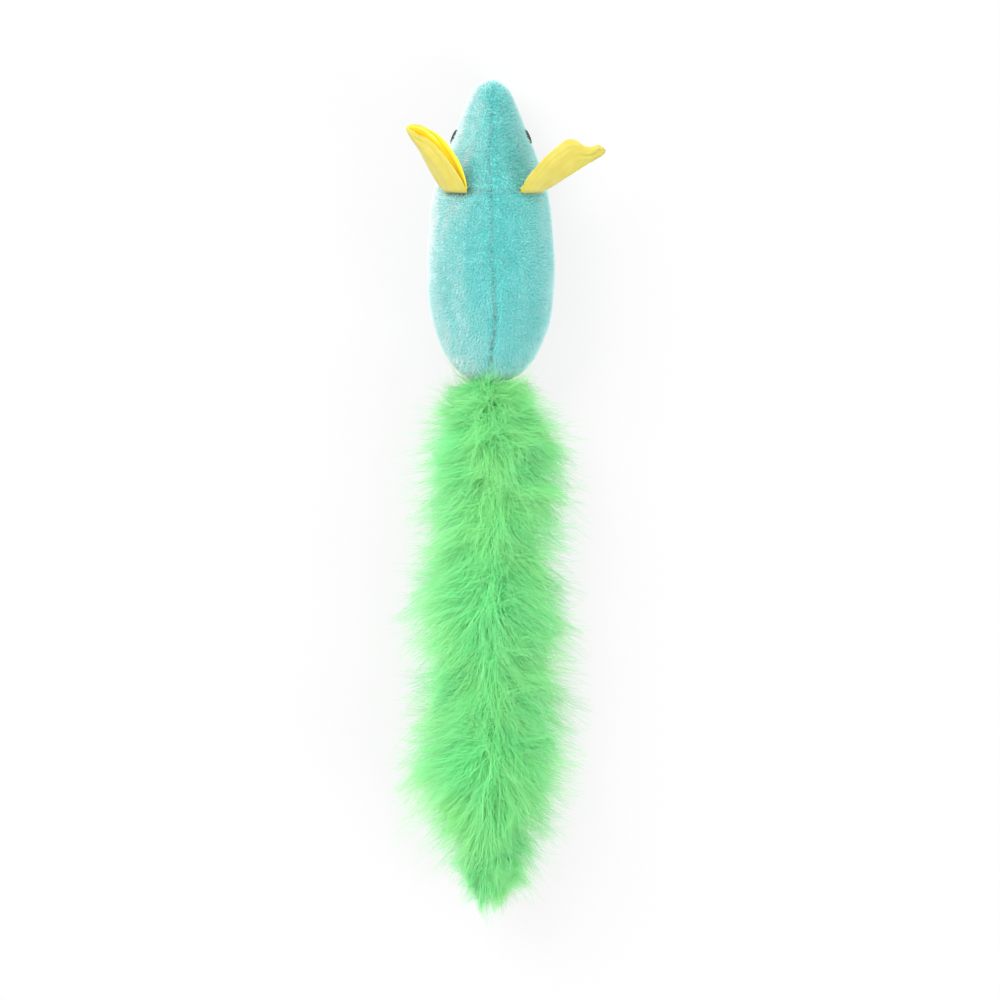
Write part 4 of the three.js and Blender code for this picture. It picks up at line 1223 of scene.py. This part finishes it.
class CATNIP_OT_filling(bpy.types.Operator):
    """Inside of the body: parted stuffing, and the two-piece cotton pouch with its herb"""

    bl_idname = "catnip.filling"
    bl_label = "Filling"

    def execute(self, context):
        stuffing = fibre_material("white_fibre", (0.86, 0.86, 0.83), 300.0, 0.0006)
        herb = fibre_material("dried_herb", (0.16, 0.2, 0.05), 900.0, 0.0008)
        cotton = cotton_material((0.8, 0.77, 0.68))
        made = self.matted("stuffing", "fibre_fill", stuffing, 0.0009, "stuffing")
        self.matted("herb_crumble", "catnip_herb", herb, 0.0005, "herb")
        for cad_node in ("pouch_upper", "pouch_lower"):
            self.pouch_half(cad_node, cotton)
        return {"FINISHED"}

    def matted(self, name, cad_node, material, voxel, slot):
        """A matted copy of a solid, roughened inward."""
        mesh = frame["nodes"][cad_node].data.copy()
        mesh.name = name
        mesh.materials.clear()
        outward(mesh)
        made = linked(name, mesh)
        modified(made, "REMESH", mode="VOXEL", voxel_size=voxel)
        for vertex in made.data.vertices:
            rough = noise.noise(vertex.co * 500.0) + 0.6 * noise.noise(vertex.co * 1400.0)
            vertex.co -= vertex.normal * MATTED_DEPTH * (0.6 + 0.6 * rough)
        finish_piece(made, material)
        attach(made, "mouse")
        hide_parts(cad_node)
        return made

    def pouch_half(self, cad_node, material):
        """A dished cloth with its sewn edge, from its node's box."""
        low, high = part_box(cad_node)
        upper = cad_node.endswith("upper")
        middle = (low + high) / 2
        reach_x, reach_y = (high.x - low.x) / 2 - POUCH_EDGE, (high.y - low.y) / 2 - POUCH_EDGE
        seat = low.z if upper else high.z
        rise = (high.z - low.z - 0.0003) * (1 if upper else -1)
        turns = np.linspace(0, 2 * math.pi, 72, endpoint=False)
        profile = [(1, POUCH_EDGE * share, 0) for share in (1, 0.6, 0)]
        profile += [(math.cos(angle), 0, math.sin(angle)) for angle in np.linspace(0, 1.5, 14)]
        rows = [np.stack([
            middle.x + (reach_x * out + grow) * np.cos(turns),
            middle.y + (reach_y * out + grow) * np.sin(turns),
            seat + rise * up * (1 + 0.02 * np.cos(turns * 14) * out),
        ], axis=-1) for out, grow, up in profile]
        mesh = grid_mesh(f"{cad_node}_cloth", np.array(rows), wrap=True)
        with editing(mesh) as work:
            work.faces.new(work.verts[-len(turns):])
            bmesh.ops.recalc_face_normals(work, faces=work.faces)
        made = piece(mesh, material, "mouse", cad_node)
        modified(made, "SOLIDIFY", thickness=POUCH_CLOTH, offset=1 if upper else -1)
        outward(made.data)


class CATNIP_OT_threads(bpy.types.Operator):
    """Seam threads, and the ladder stitches that close the back seam by hand"""

    bl_idname = "catnip.threads"
    bl_label = "Threads"

    def execute(self, context):
        settings = context.scene.catnip_plush
        material = thread_material("aqua_thread", (0.012, 0.43, 0.42))
        for name in ("back_seam_thread", "belly_seam_thread_left", "belly_seam_thread_right"):
            mesh = frame["nodes"][name].data
            mesh.materials.clear()
            mesh.materials.append(material)
        places = []
        for number, share in enumerate(CLOSING_DIP_SHARES):
            parameter = np.array([parameter_at(share)])
            turn = back_seam_turn(parameter)
            width = HALF_WIDTH * swell_at(parameter)[:, 1]
            for reach, sink in LADDER_STITCH:
                step = (1 if number % 2 else -1) * reach / (math.pi * width)
                inset = settings.skin_inset + settings.seam_depth * 0.8 + sink
                places.append(body_point(parameter, turn + step, inset)[0])
        points = catmull(places, np.linspace(0, 1, len(places) * 6))
        mesh = bpy.data.meshes.new("closing_stitches")
        mesh.from_pydata(points.tolist(), [(i, i + 1) for i in range(len(points) - 1)], [])
        values = {"Radius": CLOSING_THREAD_RADIUS, "Material": material}
        made = grown("closing_stitches", mesh, stitch_tree(), values)
        outward(made.data)
        finish_piece(made, material)
        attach(made, "mouse")
        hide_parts("closing_thread")
        return {"FINISHED"}


class CATNIP_OT_eyes(bpy.types.Operator):
    """Low domed buttons on the sides of the head"""

    bl_idname = "catnip.eyes"
    bl_label = "Eyes"

    def execute(self, context):
        settings = context.scene.catnip_eye
        material = eye_material(settings)
        turns = np.linspace(0, 2 * math.pi, 64, endpoint=False)[:, None]
        for side, sign in (("left", 1), ("right", -1)):
            seat, first, normal = eye_seat(sign)
            second = np.cross(normal, first)
            seat = seat - normal * settings.sink
            around = np.cos(turns) * first + np.sin(turns) * second
            rows = [seat + normal * settings.height * up + settings.diameter / 2 * out * around
                    for out, up in EYE_PROFILE]
            mesh = grid_mesh(f"button_eye_{side}", np.array(rows), wrap=True)
            with editing(mesh) as work:
                for ring, up in ((work.verts[:len(turns)], 0), (work.verts[-len(turns):], 1)):
                    pole = work.verts.new(seat + normal * settings.height * up)
                    for one, other in zip(ring, ring[1:] + ring[:1]):
                        work.faces.new((one, other, pole))
                bmesh.ops.recalc_face_normals(work, faces=work.faces)
            piece(mesh, material, "mouse", f"eye_{side}")
        return {"FINISHED"}


class CATNIP_OT_ears(bpy.types.Operator):
    """Satin ears folded along a keel, with their roots caught in the nape dart"""

    bl_idname = "catnip.ears"
    bl_label = "Ears"

    def execute(self, context):
        settings = context.scene.catnip_ear
        material = satin_material(settings)
        for side, ear in EARS.items():
            made = linked(f"satin_ear_{side}", ear_mesh(f"satin_ear_{side}", ear, settings))
            finish_piece(made, material)
            root, line, width, _, up = ear_frame(ear)[:5]
            middle = root + line * width / 2
            low, high = (middle + up * height for height in EAR_BEND_HEIGHTS)
            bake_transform(made)
            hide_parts(f"ear_{side}", f"ear_tab_{side}")
        return {"FINISHED"}


def tail_spans():
    """Stretches from the middle of one plume to the next, with the bodies that each lies between."""
    spans = [(FIRST_BEND.y, FIRST_BEND.y + PLUME_PITCH / 2, ("tail_link", "tail_1"))]
    for k in range(1, PLUME_COUNT):
        joint = FIRST_BEND.y + k * PLUME_PITCH
        spans.append((joint - PLUME_PITCH / 2, joint + PLUME_PITCH / 2, (f"tail_{k}", f"tail_{k + 1}")))
    return [*spans, (FIRST_BEND.y + (PLUME_COUNT - 0.5) * PLUME_PITCH, TAIL_TIP, (f"tail_{PLUME_COUNT}",))]


def carry(made, bodies, end):
    """A piece of the tail rides on one body; one between two bodies is only fixed in place."""
    if len(bodies) == 1:
        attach(made, bodies[0])
    else:
        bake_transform(made)


class CATNIP_OT_tail_cord(bpy.types.Operator):
    """Twisted core cord of the tail, its knot in the rump and its end knot"""

    bl_idname = "catnip.tail_cord"
    bl_label = "Tail Cord"

    def execute(self, context):
        settings = context.scene.catnip_tail
        material = thread_material("green_cord", settings.cord_color, 1500.0)
        tree = cord_tree()
        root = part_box("tail_root_cord")[0].y
        give = [FIRST_BEND.y + away for away in CORD_GIVE]
        lengths = [
            ("cord_root", root, give[0], ("mouse",), ["tail_root_cord"]),
            ("cord_bend", *give, ("mouse", "tail_link"), ["tail_bend_link"]),
        ]
        for number, (start, end, bodies) in enumerate(tail_spans()):
            start, nodes = (start, [f"core_cord_{number}"]) if number else (give[1], [])
            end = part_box("tail_end_knot")[0].y + CORD_OVERLAP if number == PLUME_COUNT else end
            lengths.append((f"cord_{number}", start, end, bodies, nodes))
        for name, start, end, bodies, nodes in lengths:
            made = grown(name, bpy.data.meshes.new(name), tree, {
                "Start": start, "End": end, "Height": FIRST_BEND.z, "Radius": settings.cord_radius,
                "Points": max(12, round((end - start) / 0.0006)), "Material": material,
            })
            outward(made.data)
            finish_piece(made, material)
            carry(made, bodies, end)
            if nodes:
                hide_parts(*nodes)
        self.knot("knot_root", "tail_knot", "mouse", material)
        self.knot("knot_end", "tail_end_knot", f"tail_{PLUME_COUNT}", material)
        return {"FINISHED"}

    def knot(self, name, cad_node, body, material):
        """An overhand knot that fills its node's box."""
        low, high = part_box(cad_node)
        size = (high.y - low.y) / 2
        thick = size * KNOT_CORD_SHARE
        t = np.linspace(0, 2 * math.pi, 160, endpoint=False)
        ring = (2 + np.cos(3 * t)) / 3 * (size - thick)
        along = np.sin(3 * t) * size * KNOT_LENGTH_SHARE
        path = np.stack([ring * np.cos(2 * t), along, ring * np.sin(2 * t)], axis=-1)
        path += np.array((low + high) / 2)
        tangent = unit(np.roll(path, -1, axis=0) - np.roll(path, 1, axis=0))
        first = unit(np.cross(tangent, (0.0, 1.0, 0.0)))[:, None]
        second = np.cross(tangent, first[:, 0])[:, None]
        a = np.linspace(0, 2 * math.pi, 14, endpoint=False)[None, :, None]
        points = path[:, None] + (np.cos(a) * first + np.sin(a) * second) * thick
        mesh = grid_mesh(name, np.concatenate([points, points[:1]]), wrap=True)
        outward(mesh)
        piece(mesh, material, body, cad_node)


class CATNIP_OT_tail_fluff(bpy.types.Operator):
    """Fluff of the boa tail: tufts of fine down bound along the cord"""

    bl_idname = "catnip.tail_fluff"
    bl_label = "Tail Fluff"

    def execute(self, context):
        settings = context.scene.catnip_tail
        material = down_material(settings)
        tree = plume_tree()
        first, root_end = FIRST_BEND.y, TAIL_TIP - FLUFF_END_SHARE * settings.radius
        # Name, first and last root, share of the strands, seed, bodies, bend's start and end, nodes
        lengths = [(
            "fluff_root", *(first + away for away in ROOT_FLUFF), ROOT_FLUFF_SHARE, 71,
            ("mouse", "tail_link"), *(first + away for away in ROOT_FLUFF_BEND), [],
        )]
        for number, (start, end, bodies) in enumerate(tail_spans()):
            front, share, nodes = start + ROOT_FLUFF[1], FIRST_FLUFF_SHARE, []
            if number:
                front, share, nodes = start, 1.0, [f"plume_{number}"]
            back = root_end if number == PLUME_COUNT else end
            seed = 100 + 31 * number
            lengths.append((f"fluff_{number}", front, back, share, seed, bodies, start, end, nodes))
        for name, front, back, share, seed, bodies, start, end, nodes in lengths:
            made = grown(name, bpy.data.meshes.new(name), tree, {
                "Strands": round(settings.strand_count * share), "Tuft": settings.tuft_size, "Points": 5,
                "Start": front, "End": back, "Height": FIRST_BEND.z, "Cord": settings.cord_radius,
                "Reach": settings.radius, "Tail Start": first, "Tail End": root_end,
                "Width": settings.strand_width, "Seed": seed, "Material": material,
            })
            finish_piece(made, material)
            carry(made, bodies, end)
            if nodes:
                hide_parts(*nodes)
        return {"FINISHED"}


class CATNIP_PT_toy(bpy.types.Panel):
    """Sizes, colours and steps of the catnip mouse"""

    bl_idname = "CATNIP_PT_toy"
    bl_label = "Catnip Mouse"
    bl_space_type = "VIEW_3D"
    bl_region_type = "UI"
    bl_category = "Catnip Mouse"

    def draw(self, context):
        layout = self.layout
        for operator in STEPS:
            layout.operator(operator.bl_idname)
        for name, group in GROUPS.items():
            box = layout.box()
            box.label(text=group.__doc__)
            for key in group.__annotations__:
                box.prop(getattr(context.scene, name), key)


GROUPS = {
    "catnip_stage": StageSettings,
    "catnip_plush": PlushSettings,
    "catnip_ear": EarSettings,
    "catnip_eye": EyeSettings,
    "catnip_tail": TailSettings,
}
STEPS = (
    CATNIP_OT_stage, CATNIP_OT_skin, CATNIP_OT_pile, CATNIP_OT_filling, CATNIP_OT_threads, CATNIP_OT_eyes,
    CATNIP_OT_ears, CATNIP_OT_tail_cord, CATNIP_OT_tail_fluff,
)
CLASSES = (*GROUPS.values(), *STEPS, CATNIP_PT_toy)


def register():
    for cls in CLASSES:
        bpy.utils.register_class(cls)
    for name, group in GROUPS.items():
        setattr(bpy.types.Scene, name, PointerProperty(type=group))


def unregister():
    for name in GROUPS:
        delattr(bpy.types.Scene, name)
    for cls in reversed(CLASSES):
        bpy.utils.unregister_class(cls)


def main():
    register()
    bpy.ops.catnip.stage()
    bpy.ops.catnip.skin()
    bpy.ops.catnip.pile()
    bpy.ops.catnip.filling()
    bpy.ops.catnip.threads()
    bpy.ops.catnip.eyes()
    bpy.ops.catnip.ears()
    bpy.ops.catnip.tail_cord()
    bpy.ops.catnip.tail_fluff()


if __name__ == "__main__":
    main()
